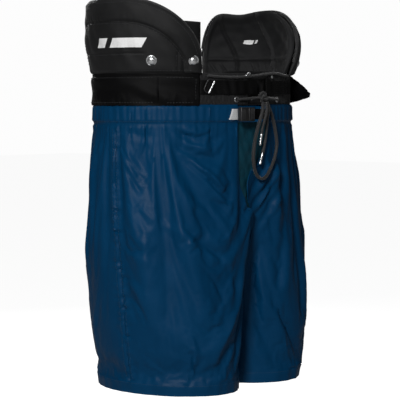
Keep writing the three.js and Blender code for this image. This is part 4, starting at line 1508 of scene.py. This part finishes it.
@dataclass
class WaistSection:
    """The padded band round the waist with its side bands, flaps, fly panels and spine pad."""

    flap_angle: float = 60.0
    flap_end: float = 37.5
    flare: float = 29.0
    wall: float = 0.003
    channels: tuple[float, float] = (170.0, 190.0)

    @staticmethod
    def band_folds(a: Array, z: Array) -> Array:
        """The soft folds of the band's outer cloth, with its sewn line near the top.

        Args:
            a: degrees round the body.
            z: heights.

        Returns:
            how far the cloth stands out.
        """
        slow = 0.0011 * ripple(a * ARC_PER_DEGREE, z, 8, (0.07, 0.035), 33)
        creased = 0.0006 * ridged(ripple(a * ARC_PER_DEGREE, z, 7, (0.022, 0.04), 34))
        creased = creased * smooth((0.002 - z) / 0.02)
        return slow + creased - 0.0010 * np.exp(-(((z - 0.0195) / 0.0012) ** 2))

    def band(self, side: Side) -> None:
        """The waistband, side band and fly panel of one side."""
        turn, label = side.sign, side.label

        def crease(a: Array, z: Array) -> Array:
            """Creases of the band's lining and its sewn line."""
            crumple = ridged(ripple(a * ARC_PER_DEGREE, z, 7, (0.03, 0.03), 31))
            return 0.0009 * crumple - 0.0012 * np.exp(-(((z - 0.016) / 0.0016) ** 2))

        def puckers(a: Array, z: Array) -> Array:
            """Small puckers of the mesh."""
            return 0.0010 * ridged(ripple(a * ARC_PER_DEGREE, z, 8, (0.012, 0.018), 35))

        waistband = Layer(
            f"waistband_{label}", self.flap_end * turn, 179.9 * turn, level(BAND_LOW), level(BAND_HIGH + 0.0003),
            -0.0050, -0.0006, detail=crease, columns=150, rows=26, round_u=0.01,
        ).build()
        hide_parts(f"waistband_{label}")
        dress(waistband, "waist", "padded_black", BLACK_LINING)
        side_band = Layer(
            f"side_band_{label}", (self.flap_angle + (0.03 if turn > 0 else 0.2)) * turn, 179.9 * turn,
            level(BAND_LOW), level(BAND_HIGH + 0.0008), 0.0, self.wall, puff=0.0006, detail=self.band_folds,
            columns=170, rows=34, round_u=0.0012, round_v=0.06,
            least=0.7,
        ).build()
        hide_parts(f"side_band_{label}")
        dress(side_band, "waist", "padded_black", BLACK_BAND)
        rows = [
            seam_row(f"row_{z}", side_band, [(a * turn, z) for a in np.linspace(62, 178, 30)], 0.004)
            for z in (0.0170, -0.0195)
        ]
        dress(joined(f"side_band_stitches_{label}", rows), "waist", "padded_black", THREAD)
        fly = Layer(
            f"fly_panel_{label}", 7.5 * turn, (self.flap_end - 0.3) * turn, level(BAND_LOW), level(BAND_HIGH),
            -0.0048, -0.0006, detail=puckers, columns=60, rows=34, round_u=0.05, round_v=0.06,
        ).build()
        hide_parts(f"fly_panel_{label}")
        dress(fly, "waist", "black_mesh", BLACK_LINING)
        edge = [(9.5 * turn, z) for z in (-0.021, 0.0, 0.021)]
        over = [((9.5 + k) * turn, 0.0205) for k in (0, 9, 18, 26)]
        under = [((9.5 + k) * turn, -0.0205) for k in (0, 9, 18, 26)]
        sewn = [seam_row(f"fly_{k}", fly, path, 0.0) for k, path in enumerate((edge, over, under))]
        dress(joined(f"fly_stitches_{label}", sewn), "waist", "black_mesh", THREAD)

    def right_flap(self) -> None:
        """The right front flap, lying on the waistband."""
        flap = Layer(
            "front_flap_right", self.flap_end, self.flap_angle + 0.02, level(BAND_LOW),
            level(BAND_HIGH + 0.0008), 0.0, self.wall, puff=0.0006, detail=self.band_folds,
            columns=60, rows=34, round_u=0.006, round_v=0.06,
            least=0.7,
        ).build()
        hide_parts("front_flap_right")
        dress(flap, None, "padded_black", BLACK_BAND)
        rows = [
            seam_row("flap_a", flap, [(a, 0.0170) for a in np.linspace(40, 58, 8)], 0.004),
            seam_row("flap_b", flap, [(a, -0.0195) for a in np.linspace(40, 58, 8)], 0.004),
            seam_row("flap_c", flap, [(39.6, z) for z in np.linspace(-0.018, 0.018, 6)], 0.004),
        ]
        sewn = joined("flap_stitches_right", rows)
        dress(sewn, None, "padded_black", THREAD)
        seam, free = (tuple(FORM.surface(self.flap_angle - k, 0.0, 0.0)[0][()]) for k in (0.0, 5.0))
        for piece in (flap, sewn):
            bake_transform(piece)

    def left_flap(self) -> None:
        """The left front flap, standing out from its seam and tapering to a low tip."""
        seam, normal = (row[()] for row in FORM.surface(-self.flap_angle + 0.9, 0.0, 0.0))
        tip = FORM.surface(-self.flap_end, 0.0, 0.0)[0]
        reach = tip - seam
        length = float(np.linalg.norm(reach))
        out = np.array([-reach[1], reach[0], 0.0]) / length
        out *= np.sign(out @ normal)
        flare = math.radians(self.flare)
        along = 1.10 * (reach * math.cos(flare) + out * length * math.sin(flare))
        square = np.array([-along[1], along[0], 0.0]) / length
        square *= np.sign(square @ normal)

        def place(u: Array, v: Array, w: Array) -> Array:
            """Points of the flap from shares along, up and through it."""
            low = mix(BAND_LOW + 0.003, BAND_LOW + 0.013, u)
            high = mix(BAND_HIGH, BAND_HIGH - 0.029, u)
            full = np.maximum(rim(u, v, 0.06, 0.09), 0.3)
            curl = 0.0022 * np.sin(math.pi * u) + 0.0008 * ripple(u * length, v * 0.03, 7, (0.02, 0.02), 37)
            lift = self.wall * (0.5 + (w - 0.5) * full) + 0.0006 * (w - 0.5) + curl
            z = mix(low, high, v)
            points = seam + along * u[:, None] + square * lift[:, None]
            points[:, 2] = z
            return points

        flap = shaped(unit_slab("front_flap_left_cloth", 40, 30), place)
        mark(flap, "weave", points_of(flap)[:, [0, 2, 1]])
        shade(flap, 50.0)
        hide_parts("front_flap_left")
        dress(flap, "left_front_flap", "padded_black", BLACK_BAND)
        surface = Surface(flap)
        rows = []
        for k, (v0, v1, u0, u1) in enumerate(((0.90, 0.80, 0.06, 0.92), (0.10, 0.20, 0.06, 0.92))):
            share = np.linspace(0, 1, 12)
            u, v = mix(u0, u1, share), mix(v0, v1, share)
            laid, normals = surface.lay(place(u, v, np.ones(12)), 0.0002)
            rows.append(stitches(f"flap_{k}", laid, normals))
        dress(joined("flap_stitches_left", rows), "left_front_flap", "padded_black", THREAD)

    def tongue(self) -> None:
        """The padded tongue behind the lacing."""
        piece = Layer(
            "fly_tongue", -22.5, 22.5, level(BAND_LOW + 0.002), level(BAND_HIGH + 0.004),
            -0.0086, -0.0056, detail=quilt(38, 0.03, 0.0011), columns=90, rows=40, round_u=0.05, round_v=0.08,
        ).build()
        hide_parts("fly_tongue")
        dress(piece, "waist", "padded_black", BLACK_CLOTH)

    def spine(self) -> None:
        """The pad over the spine, with two sewn channels."""

        def top(a: Array) -> Array:
            """The height of the pad's upper edge."""
            return 0.0244 + 0.092 * (1 - 0.03 * (np.abs(a - 180.0) / 42.0) ** 3)

        def channels(a: Array, z: Array) -> Array:
            """Two sewn channels and the unevenness of the stuffing."""
            sunk = sum(np.exp(-(((a - at) / 1.1) ** 2)) for at in self.channels)
            return -0.0026 * sunk + quilt(39, 0.04, 0.0010)(a, z)

        pad = Layer(
            "spine_pad", 137.0, 223.0, level(0.0230), top, -0.0108, 0.0026, puff=0.0012, detail=channels,
            columns=110, rows=70, round_u=0.09, round_v=0.12, least=0.2,
        ).build()
        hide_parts("spine_pad")
        dress(pad, None, "padded_black", BLACK_CLOTH)
        rows = [
            seam_row(f"spine_{a}", pad, [(a, z) for z in np.linspace(0.034, 0.104, 10)], 0.003)
            for a in self.channels
        ]
        sewn = joined("spine_stitches", rows)
        dress(sewn, None, "padded_black", THREAD)
        for piece in (pad, sewn):
            fold_up(piece)

    def build(self) -> None:
        """Makes every piece of the waist section."""
        for side in Side:
            self.band(side)
        self.right_flap()
        self.left_flap()
        self.tongue()
        self.spine()


# ---- Belts, buckle, lace and hidden pads --------------------------------------------------


def ribs(pitch: float, depth: float) -> Swell:
    """Lengthwise ribs of a woven strap."""
    return lambda angle, z: depth * np.cos(2 * math.pi * z / pitch)


@dataclass
class Belts:
    """The webbing round the waist section, its tab and slider, and the shell's belt and buckle."""

    belt_low: float = -0.0075
    belt_high: float = 0.0135
    strap_low: float = -0.045
    strap_high: float = -0.029
    buckle_x: tuple[float, float, float] = (-0.055, -0.037, -0.022)
    buckle_y: tuple[float, float] = (-0.1377, -0.1305)
    buckle_z: tuple[float, float] = (-0.0475, -0.0265)
    tongue: float = 0.011
    bevel: float = 0.0012

    def strap(self, node: str, start: float, end: float, low: float, high: float, inner: float, wall: float,
              finish: bpy.types.Material, slot: str, wave: float = 0.0006, slit: float = 0.0,
              released: bool = False) -> bpy.types.Object:
        """One flat woven strap round the body, ribbed lengthwise; past a slit it lies inside the shell.

        Args:
            node: the solid it stands for, and its name.
            start: degrees where it begins.
            end: degrees where it ends.
            low: its lower edge.
            high: its upper edge.
            inner: how far its back face stands off the body.
            wall: its thickness.
            finish: its material.
            slot: the material slot.
            wave: how much it buckles.
            slit: degrees past which it goes inside the shell.
            released: whether it rides on no body, baked in place, instead of on the waist.

        Returns:
            the strap.
        """

        def buckled(a: Array, z: Array) -> Array:
            """The strap's waves, and its step inwards at the slit."""
            past = a * np.sign(end) - slit + 120.0 * (z - low)
            step = 0.0066 * smooth(past / 1.2) if slit else 0.0
            return wave * ripple(a * ARC_PER_DEGREE, z, 6, (0.022, 0.08), 51) - step

        piece = Layer(
            node, start, end, level(low), level(high), inner, inner + wall, columns=90, rows=30,
            round_u=0.02, round_v=0.08, swell=buckled, detail=ribs(0.0030, 0.00022), least=0.5,
        ).build()
        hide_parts(node)
        dress(piece, None if released else "waist", slot, finish)
        if released:
            reach = self.buckle_x[2]
            start = (reach + 0.050, -0.14, -0.037)
            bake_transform(piece)
        return piece

    def block(self, name: str, x0: float, x1: float, inset: float = 0.0) -> bpy.types.Object:
        """A moulded block between two x places, with eased edges."""
        deselect()
        bpy.ops.mesh.primitive_cube_add(size=1.0)
        piece = named(name)
        low = np.array([x0, self.buckle_y[0] + inset, self.buckle_z[0] + inset])
        high = np.array([x1, self.buckle_y[1] - inset, self.buckle_z[1] - inset])
        move_to(piece, low + (points_of(piece) + 0.5) * (high - low))
        modify(piece, "BEVEL", width=self.bevel, segments=3)
        return piece

    def ribbed(self, name: str, x0: float, x1: float, count: int, inset: float) -> list[bpy.types.Object]:
        """Raised ribs across the face of a block."""
        made = []
        for k in range(count):
            x = mix(x0, x1, (k + 0.5) / count)
            deselect()
            bpy.ops.mesh.primitive_cube_add(size=1.0)
            rib = named(f"{name}_{k}")
            low = np.array([x - 0.0007, self.buckle_y[0] - 0.0008, self.buckle_z[0] + inset])
            high = np.array([x + 0.0007, self.buckle_y[0] + 0.002, self.buckle_z[1] - inset])
            move_to(rib, low + (points_of(rib) + 0.5) * (high - low))
            modify(rib, "BEVEL", width=0.0005, segments=2)
            made.append(rib)
        return made

    def buckle(self) -> None:
        """The side-release buckle: a hollow half on the waist and a half that slides out of it."""
        start, split, end = self.buckle_x
        female = self.block("buckle_female_body", start, split)
        hollow = self.block("hollow", split - self.tongue - 0.001, split + 0.002, 0.0018)
        modify(female, "BOOLEAN", object=hollow, operation="DIFFERENCE")
        bpy.data.objects.remove(hollow)
        ribs_made = self.ribbed("rib", start + 0.002, split - 0.008, 3, 0.003)
        female = joined("buckle_female_body", [female] + ribs_made)
        shade(female, 35.0)
        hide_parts("buckle_female")
        dress(female, "waist", "black_plastic", BLACK_PLASTIC)
        male = self.block("buckle_male_body", split + 0.0004, end)
        prong = self.block("prong", split - self.tongue + 0.0004, split + 0.003, 0.0024)
        ribs_made = self.ribbed("rib", split + 0.004, end - 0.001, 4, 0.002)
        male = joined("buckle_male_body", [male, prong] + ribs_made)
        shade(male, 35.0)
        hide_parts("buckle_male")
        dress(male, "buckle_half", "black_plastic", BLACK_PLASTIC)

    def slider(self) -> None:
        """The silver bar lying at a slant across the webbing, in its folded keeper."""
        at, normal = FORM.surface(31.0, 0.003, 0.0042)
        across = np.array([-normal[1], normal[0], 0.0])
        line = np.array([0, 0, 1.0]) + 0.55 * across
        line /= np.linalg.norm(line)
        steps = np.linspace(-0.010, 0.010, 13)
        rod = sweep("belt_slider_rod", at + steps[:, None] * line, 0.0015, 14)
        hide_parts("belt_slider_bar")
        dress(rod, "waist", "metal", SILVER)
        side = np.cross(normal, line)
        frame_line = [at + a * line + b * side - 0.0008 * normal for a, b in (
            (-0.0085, 0.0), (-0.0105, 0.003), (-0.0085, 0.0085), (0.0, 0.010),
            (0.0085, 0.0085), (0.0105, 0.003), (0.0085, 0.0),
        )]
        keeper = sweep("belt_slider_frame", catmull(frame_line, 6), 0.0009, 10)
        dress(keeper, "waist", "black_plastic", BLACK_PLASTIC)

    def small_metal(self) -> None:
        """A wire loop on the top edge, two rivets and two lace eyelets."""
        at, normal = FORM.surface(9.0, 0.0225, 0.0030)
        across = np.array([-normal[1], normal[0], 0.0])
        up = np.array([0.0, 0.0, 1.0])
        turn = np.linspace(0, 2 * math.pi, 25)
        leaning = 0.8 * across + 0.5 * up
        wire = at + 0.0045 * (np.cos(turn)[:, None] * leaning + 0.45 * np.sin(turn)[:, None] * up)
        ring = sweep("belt_wire_loop", wire[:-1], 0.0008, 8)
        pieces = [ring]
        for name, angle, z, radius in (
            ("rivet_a", -9.6, 0.0195, 0.0024), ("rivet_b", 6.5, -0.014, 0.0022),
            ("eyelet_right", 15.75, -0.0150, 0.0036), ("eyelet_left", -15.75, -0.0150, 0.0036),
        ):
            deselect()
            if name.startswith("rivet"):
                bpy.ops.mesh.primitive_uv_sphere_add(segments=18, ring_count=10, radius=1.0)
                piece = named(name)
                local = points_of(piece) * [radius, radius, radius * 0.5]
            else:
                bpy.ops.mesh.primitive_torus_add(
                    major_radius=radius, minor_radius=0.0009, major_segments=28, minor_segments=10
                )
                piece = named(name)
                local = points_of(piece)
            foot, out = FORM.surface(angle, z, 0.0006 if name.startswith("eyelet") else 0.0026)
            right = np.array([-out[1], out[0], 0.0])
            move_to(piece, foot + local[:, :1] * right + local[:, 1:2] * up + local[:, 2:3] * out)
            face_out(piece)
            pieces.append(piece)
        metal = joined("front_small_metal", pieces)
        shade(metal, 50.0)
        dress(metal, "waist", "metal", SILVER)

    def build(self) -> None:
        """Makes every strap and fitting."""
        for side, node in ((1, "belt_webbing_right"), (-1, "belt_webbing_left")):
            self.strap(
                node, 2.0 * side, 37.1 * side, self.belt_low, self.belt_high, 0.0006, 0.0017, WEBBING, "webbing"
            )
        self.strap("belt_tab", -7.2, -3.6, -0.008, 0.017, 0.0030, 0.0018, WEBBING, "webbing", 0.0)
        self.strap(
            "shell_strap_right", 16.0, 30.0, self.strap_low, self.strap_high, 0.0036, 0.0014, PALE_WEBBING,
            "pale_webbing", 0.0004, 20.5,
        )
        self.strap(
            "shell_strap_left", 8.0, -22.5, self.strap_low, self.strap_high, 0.0030, 0.0015,
            WEBBING, "webbing", 0.0004,
            -2.0, released=True,
        )
        self.buckle()
        self.slider()
        self.small_metal()


@dataclass
class Lace:
    """The braided lace: a run along the top, cross runs, a knot, one hanging loop and two ends."""

    diameter: float = 0.0048
    thin: float = 0.0040
    hang_y: float = -0.1365
    knot: tuple[float, float, float] = (-0.004, -0.139, -0.011)
    aglet_length: float = 0.017
    aglet_diameter: float = 0.0044

    def braid(self, name: str, line: Array, diameter: float) -> bpy.types.Object:
        """A tube with braided strands in relief."""
        piece = sweep(name, line, diameter / 2, 16)
        notes = marked(piece, "weave")
        wave = np.sin(2 * math.pi * notes[:, 0] / 0.0032 + notes[:, 1] / (diameter / 2) * 2)
        wave *= np.sin(2 * math.pi * notes[:, 0] / 0.0032 - notes[:, 1] / (diameter / 2) * 2)
        move_to(piece, points_of(piece) + normals_of(piece) * (0.00022 * wave)[:, None])
        return piece

    def cord(self, name: str, route: Sequence[Sequence[float]], exit_at: Sequence[float], far: str,
             fittings: Sequence[bpy.types.Object] = (), lay: str = "hanging") -> None:
        """One free cord along its route."""
        line = catmull(route, 7)
        piece = self.braid(name + "_braid", line, self.diameter)
        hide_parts(name)
        dress(piece, "waist", "lace", BRAID)

    def run(self, name: str, route: Sequence[Sequence[float]]) -> None:
        """A short run of lace lying on the garment."""
        piece = self.braid(name + "_braid", catmull(route, 8), self.thin)
        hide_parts(name)
        dress(piece, "waist", "lace", BRAID)

    def aglet(self, name: str, route: Sequence[Sequence[float]]) -> bpy.types.Object:
        """The metal tip on a lace end, crimped round its middle."""
        last, before = np.array(route[-1]), np.array(route[-2])
        way = (last - before) / np.linalg.norm(last - before)
        steps = np.linspace(-0.0006, self.aglet_length, 30)
        piece = sweep(name + "_tip", last + steps[:, None] * way, self.aglet_diameter / 2, 16)
        far = np.clip((points_of(piece) - last) @ way / self.aglet_length, 0, 1)
        squeeze = 1 - 0.22 * np.exp(-(((far - 0.30) / 0.05) ** 2))
        squeeze = squeeze - 0.22 * np.exp(-(((far - 0.55) / 0.05) ** 2))
        squeeze *= 1 - 0.35 * smooth((far - 0.88) / 0.12)
        axis = last + (points_of(piece) - last) @ way[:, None] * way
        move_to(piece, axis + (points_of(piece) - axis) * squeeze[:, None])
        shade(piece, 50.0)
        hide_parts(name)
        dress(piece, "waist", "metal", SILVER)
        return piece

    def tie(self) -> None:
        """The knot: a cord wound through itself."""
        t = np.linspace(0, 2 * math.pi, 121)
        ring = 0.0046 * (2 + np.cos(1.5 * 2 * t)) * 0.5
        line = np.stack([ring * np.cos(2 * t), 0.0046 * 0.5 * np.sin(3 * t), ring * np.sin(2 * t)], -1)
        piece = self.braid("lace_knot_braid", np.array(self.knot) + line, self.thin)
        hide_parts("lace_knot")
        dress(piece, "waist", "lace", BRAID)

    def build(self) -> None:
        """Ties the whole lace."""
        y = self.hang_y
        loop = [
            (-0.008, -0.141, -0.0189), (-0.012, -0.144, -0.030), (-0.017, -0.144, -0.043),
            (-0.0205, -0.1425, -0.055), (-0.023, -0.138, -0.076), (-0.025, y, -0.104),
            (-0.020, y, -0.124), (-0.008, y, -0.134), (0.006, y, -0.132),
            (0.018, y, -0.119), (0.028, y, -0.103), (0.033, y, -0.084), (0.029, y, -0.062), (0.022, y, -0.042),
            (0.012, -0.138, -0.028), (0.003, -0.1395, -0.0189),
        ]
        long_end = [
            (0.0, -0.143, -0.0189), (0.0035, -0.1435, -0.030), (0.006, -0.139, -0.044), (0.007, y, -0.062),
            (0.002, y, -0.084), (-0.003, y, -0.097),
        ]
        short_end = [
            (-0.005, -0.1456, -0.0189), (-0.0045, -0.146, -0.031), (-0.007, -0.1435, -0.046),
            (-0.0095, -0.1415, -0.058),
            (-0.011, -0.141, -0.067),
        ]
        self.cord("lace_loop", loop, loop[0], "object")
        self.cord("lace_end_long", long_end, long_end[0], "fitting", [self.aglet("aglet_long", long_end)])
        self.cord("lace_end_short", short_end, short_end[0], "fitting", [self.aglet("aglet_short", short_end)])
        along = [(33, 0.020), (24, 0.0185), (14, 0.0185), (4, 0.021), (-6, 0.024), (-14, 0.025), (-26, 0.022)]
        self.run("lace_top_run", [FORM.surface(a, z, 0.0024)[0] for a, z in along])
        for name, turn in (("lace_run_right", 1), ("lace_run_left", -1)):
            start = FORM.surface(15.75 * turn, -0.015, 0.0022)[0]
            end = np.array([self.knot[0] - turn * 0.0060, self.knot[1] + 0.001, self.knot[2] - 0.001])
            self.run(name, [start, (start + end) / 2 - [0, 0.001, 0], end])
        self.tie()


@dataclass
class Inside:
    """What lies inside the shell: the fly gusset, the crotch strip and the protective pads."""

    depth: float = -0.0150

    def pad(self, node: str, start: float, end: float, low: float, high: float, inner: float, outer: float,
            slot: str, finish: bpy.types.Material, side: Optional[Side] = None) -> None:
        """One pad: on the waist, or with a side given, on no body and baked in place."""
        piece = Layer(
            node, start, end, level(low), level(high), inner, outer,
            columns=50, rows=50, round_u=0.12, round_v=0.1,
            detail=quilt(61, 0.05, 0.0006),
        ).build()
        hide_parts(node)
        dress(piece, None if side else "waist", slot, finish)
        if side:
            bend_at_hip(piece)

    def gusset(self) -> None:
        """The cloth behind the fly, gathered a little."""

        def soft(a: Array, z: Array) -> Array:
            """Loose gathers that run down the cloth."""
            return 0.0008 * ripple(a * ARC_PER_DEGREE, z, 7, (0.018, 0.05), 62)

        piece = Layer(
            "fly_gusset", -16.0, 23.0, level(-0.200), level(-0.0490), -0.0062, -0.0050, detail=soft,
            columns=60, rows=90, round_u=0.02, round_v=0.01, least=0.6,
        ).build()
        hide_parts("fly_gusset")
        dress(piece, "waist", "fly_nylon", TEAL_NYLON)

    def crotch(self) -> None:
        """The strip under the seat between the front and the back."""
        radius = FORM.hip_radius - 0.0012

        def place(u: Array, v: Array, w: Array) -> Array:
            """Points of the strip from shares back, across and through it."""
            reach = mix(-0.110, 0.106, u) - FORM.hip_y
            height = FORM.hip_z - np.sqrt((radius - 0.002 * w) ** 2 - reach**2)
            return np.stack([mix(-0.022, 0.022, v), reach + FORM.hip_y, height + 0.0045], -1)

        piece = shaped(unit_slab("crotch_strip", 60, 12), place)
        mark(piece, "weave", points_of(piece))
        shade(piece, 50.0)
        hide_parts("crotch_gusset")
        dress(piece, "waist", "shell_nylon", NAVY_LINING)

    def build(self) -> None:
        """Makes all of it."""
        self.gusset()
        self.crotch()
        d = self.depth
        self.pad("tailbone_pad", 157.5, 202.5, -0.140, -0.058, d - 0.009, d, "foam", FOAM)
        for side in Side:
            t = side.sign
            for name, start, end, low, high, inner, outer, slot, finish in (
                ("hip_pad", 60, 120, -0.192, -0.060, d - 0.009, d, "foam", FOAM),
                ("thigh_plate", 30, 82.5, -0.392, -0.262, d - 0.002, d, "pad_plate", PAD_PLASTIC),
                ("thigh_pad", 22.5, 90, -0.400, -0.256, d - 0.013, d - 0.003, "foam", FOAM),
            ):
                self.pad(
                    f"{name}_{side.label}", start * t, end * t, low, high, inner, outer, slot, finish, side
                )


# ---- The stage ----------------------------------------------------------------------------


@dataclass(frozen=True)
class Stage:
    """The camera, the pale floor and the soft studio light."""

    eye: tuple[float, float, float] = (-1.915, -1.607, -0.0157)
    aim: tuple[float, float, float] = (0.0055, -0.0066, -0.1727)
    lens: float = 143.3
    sensor: float = 36.0
    floor_z: float = -0.80
    surround: float = 0.06
    backdrop: float = 0.98
    floor_glow: float = 0.93

    def camera(self) -> None:
        """Stands the camera at the front, towards the wearer's right."""
        data = bpy.data.cameras.new("camera")
        data.lens = self.lens
        data.sensor_width = self.sensor
        data.clip_end = 50.0
        camera = bpy.data.objects.new("camera", data)
        bpy.context.collection.objects.link(camera)
        camera.location = self.eye
        way = Vector(self.aim) - Vector(self.eye)
        camera.rotation_euler = way.to_track_quat("-Z", "Y").to_euler()
        bpy.context.scene.camera = camera

    def floor(self) -> None:
        """Lays a wide pale floor."""
        deselect()
        bpy.ops.mesh.primitive_plane_add(size=30.0, location=(0.0, 0.0, 0.0))
        floor = named("floor")
        move_to(floor, points_of(floor) + [0.0, 0.0, self.floor_z])
        pale = HardFinish("pale floor", (0.30, 0.30, 0.30), 0.8).build()
        shader = pale.node_tree.nodes["Principled BSDF"]
        shader.inputs["Emission Color"].default_value = (1.0, 1.0, 1.0, 1.0)
        nodes, links = pale.node_tree.nodes, pale.node_tree.links
        sight, strength = nodes.new("ShaderNodeLightPath"), nodes.new("ShaderNodeMapRange")
        strength.inputs["To Min"].default_value = self.surround
        strength.inputs["To Max"].default_value = self.floor_glow
        links.new(sight.outputs["Is Camera Ray"], strength.inputs["Value"])
        links.new(strength.outputs["Result"], shader.inputs["Emission Strength"])
        floor.data.materials.append(pale)

    def lamp(self, name: str, place: Sequence[float], size: float, power: float) -> None:
        """Hangs one soft square lamp aimed at the garment."""
        data = bpy.data.lights.new(name, "AREA")
        data.size = size
        data.energy = power
        lamp = bpy.data.objects.new(name, data)
        bpy.context.collection.objects.link(lamp)
        lamp.location = place
        lamp.rotation_euler = (Vector((0, 0, -0.2)) - Vector(place)).to_track_quat("-Z", "Y").to_euler()

    def light(self) -> None:
        """Sets a white surround and four lamps."""
        world = bpy.data.worlds.new("studio")
        world.use_nodes = True
        nodes, links = world.node_tree.nodes, world.node_tree.links
        glow = nodes["Background"]
        glow.inputs["Color"].default_value = (1.0, 1.0, 1.0, 1.0)
        sight = nodes.new("ShaderNodeLightPath")
        strength = nodes.new("ShaderNodeMapRange")
        strength.inputs["To Min"].default_value = self.surround
        strength.inputs["To Max"].default_value = self.backdrop
        links.new(sight.outputs["Is Camera Ray"], strength.inputs["Value"])
        links.new(strength.outputs["Result"], glow.inputs["Strength"])
        bpy.context.scene.world = world
        bpy.context.scene.view_settings.view_transform = "Standard"
        self.lamp("key", (-2.55, -1.35, 1.1), 0.6, 74.0)
        self.lamp("front", (-0.6, -2.9, 0.4), 0.5, 3.0)
        self.lamp("top", (-0.4, 0.2, 2.6), 1.0, 16.0)
        self.lamp("back", (1.6, 2.4, 0.9), 1.0, 34.0)

    def build(self) -> None:
        """Sets up all of it."""
        self.camera()
        self.floor()
        self.light()


def main() -> None:
    """Builds the stage and every sub-assembly of the pants."""
    logging.basicConfig(level=logging.INFO, format="%(name)s: %(message)s")
    Stage().build()
    ShellHalf(Side.RIGHT, 15.0, RIGHT_FOLDS, 11).build()
    ShellHalf(Side.LEFT, 7.5, LEFT_FOLDS, 42, tuck=11.0).build()
    WaistSection().build()
    for side in Side:
        KidneyPad(side).build()
    Belts().build()
    Lace().build()
    Inside().build()


if __name__ == "__main__":
    main()
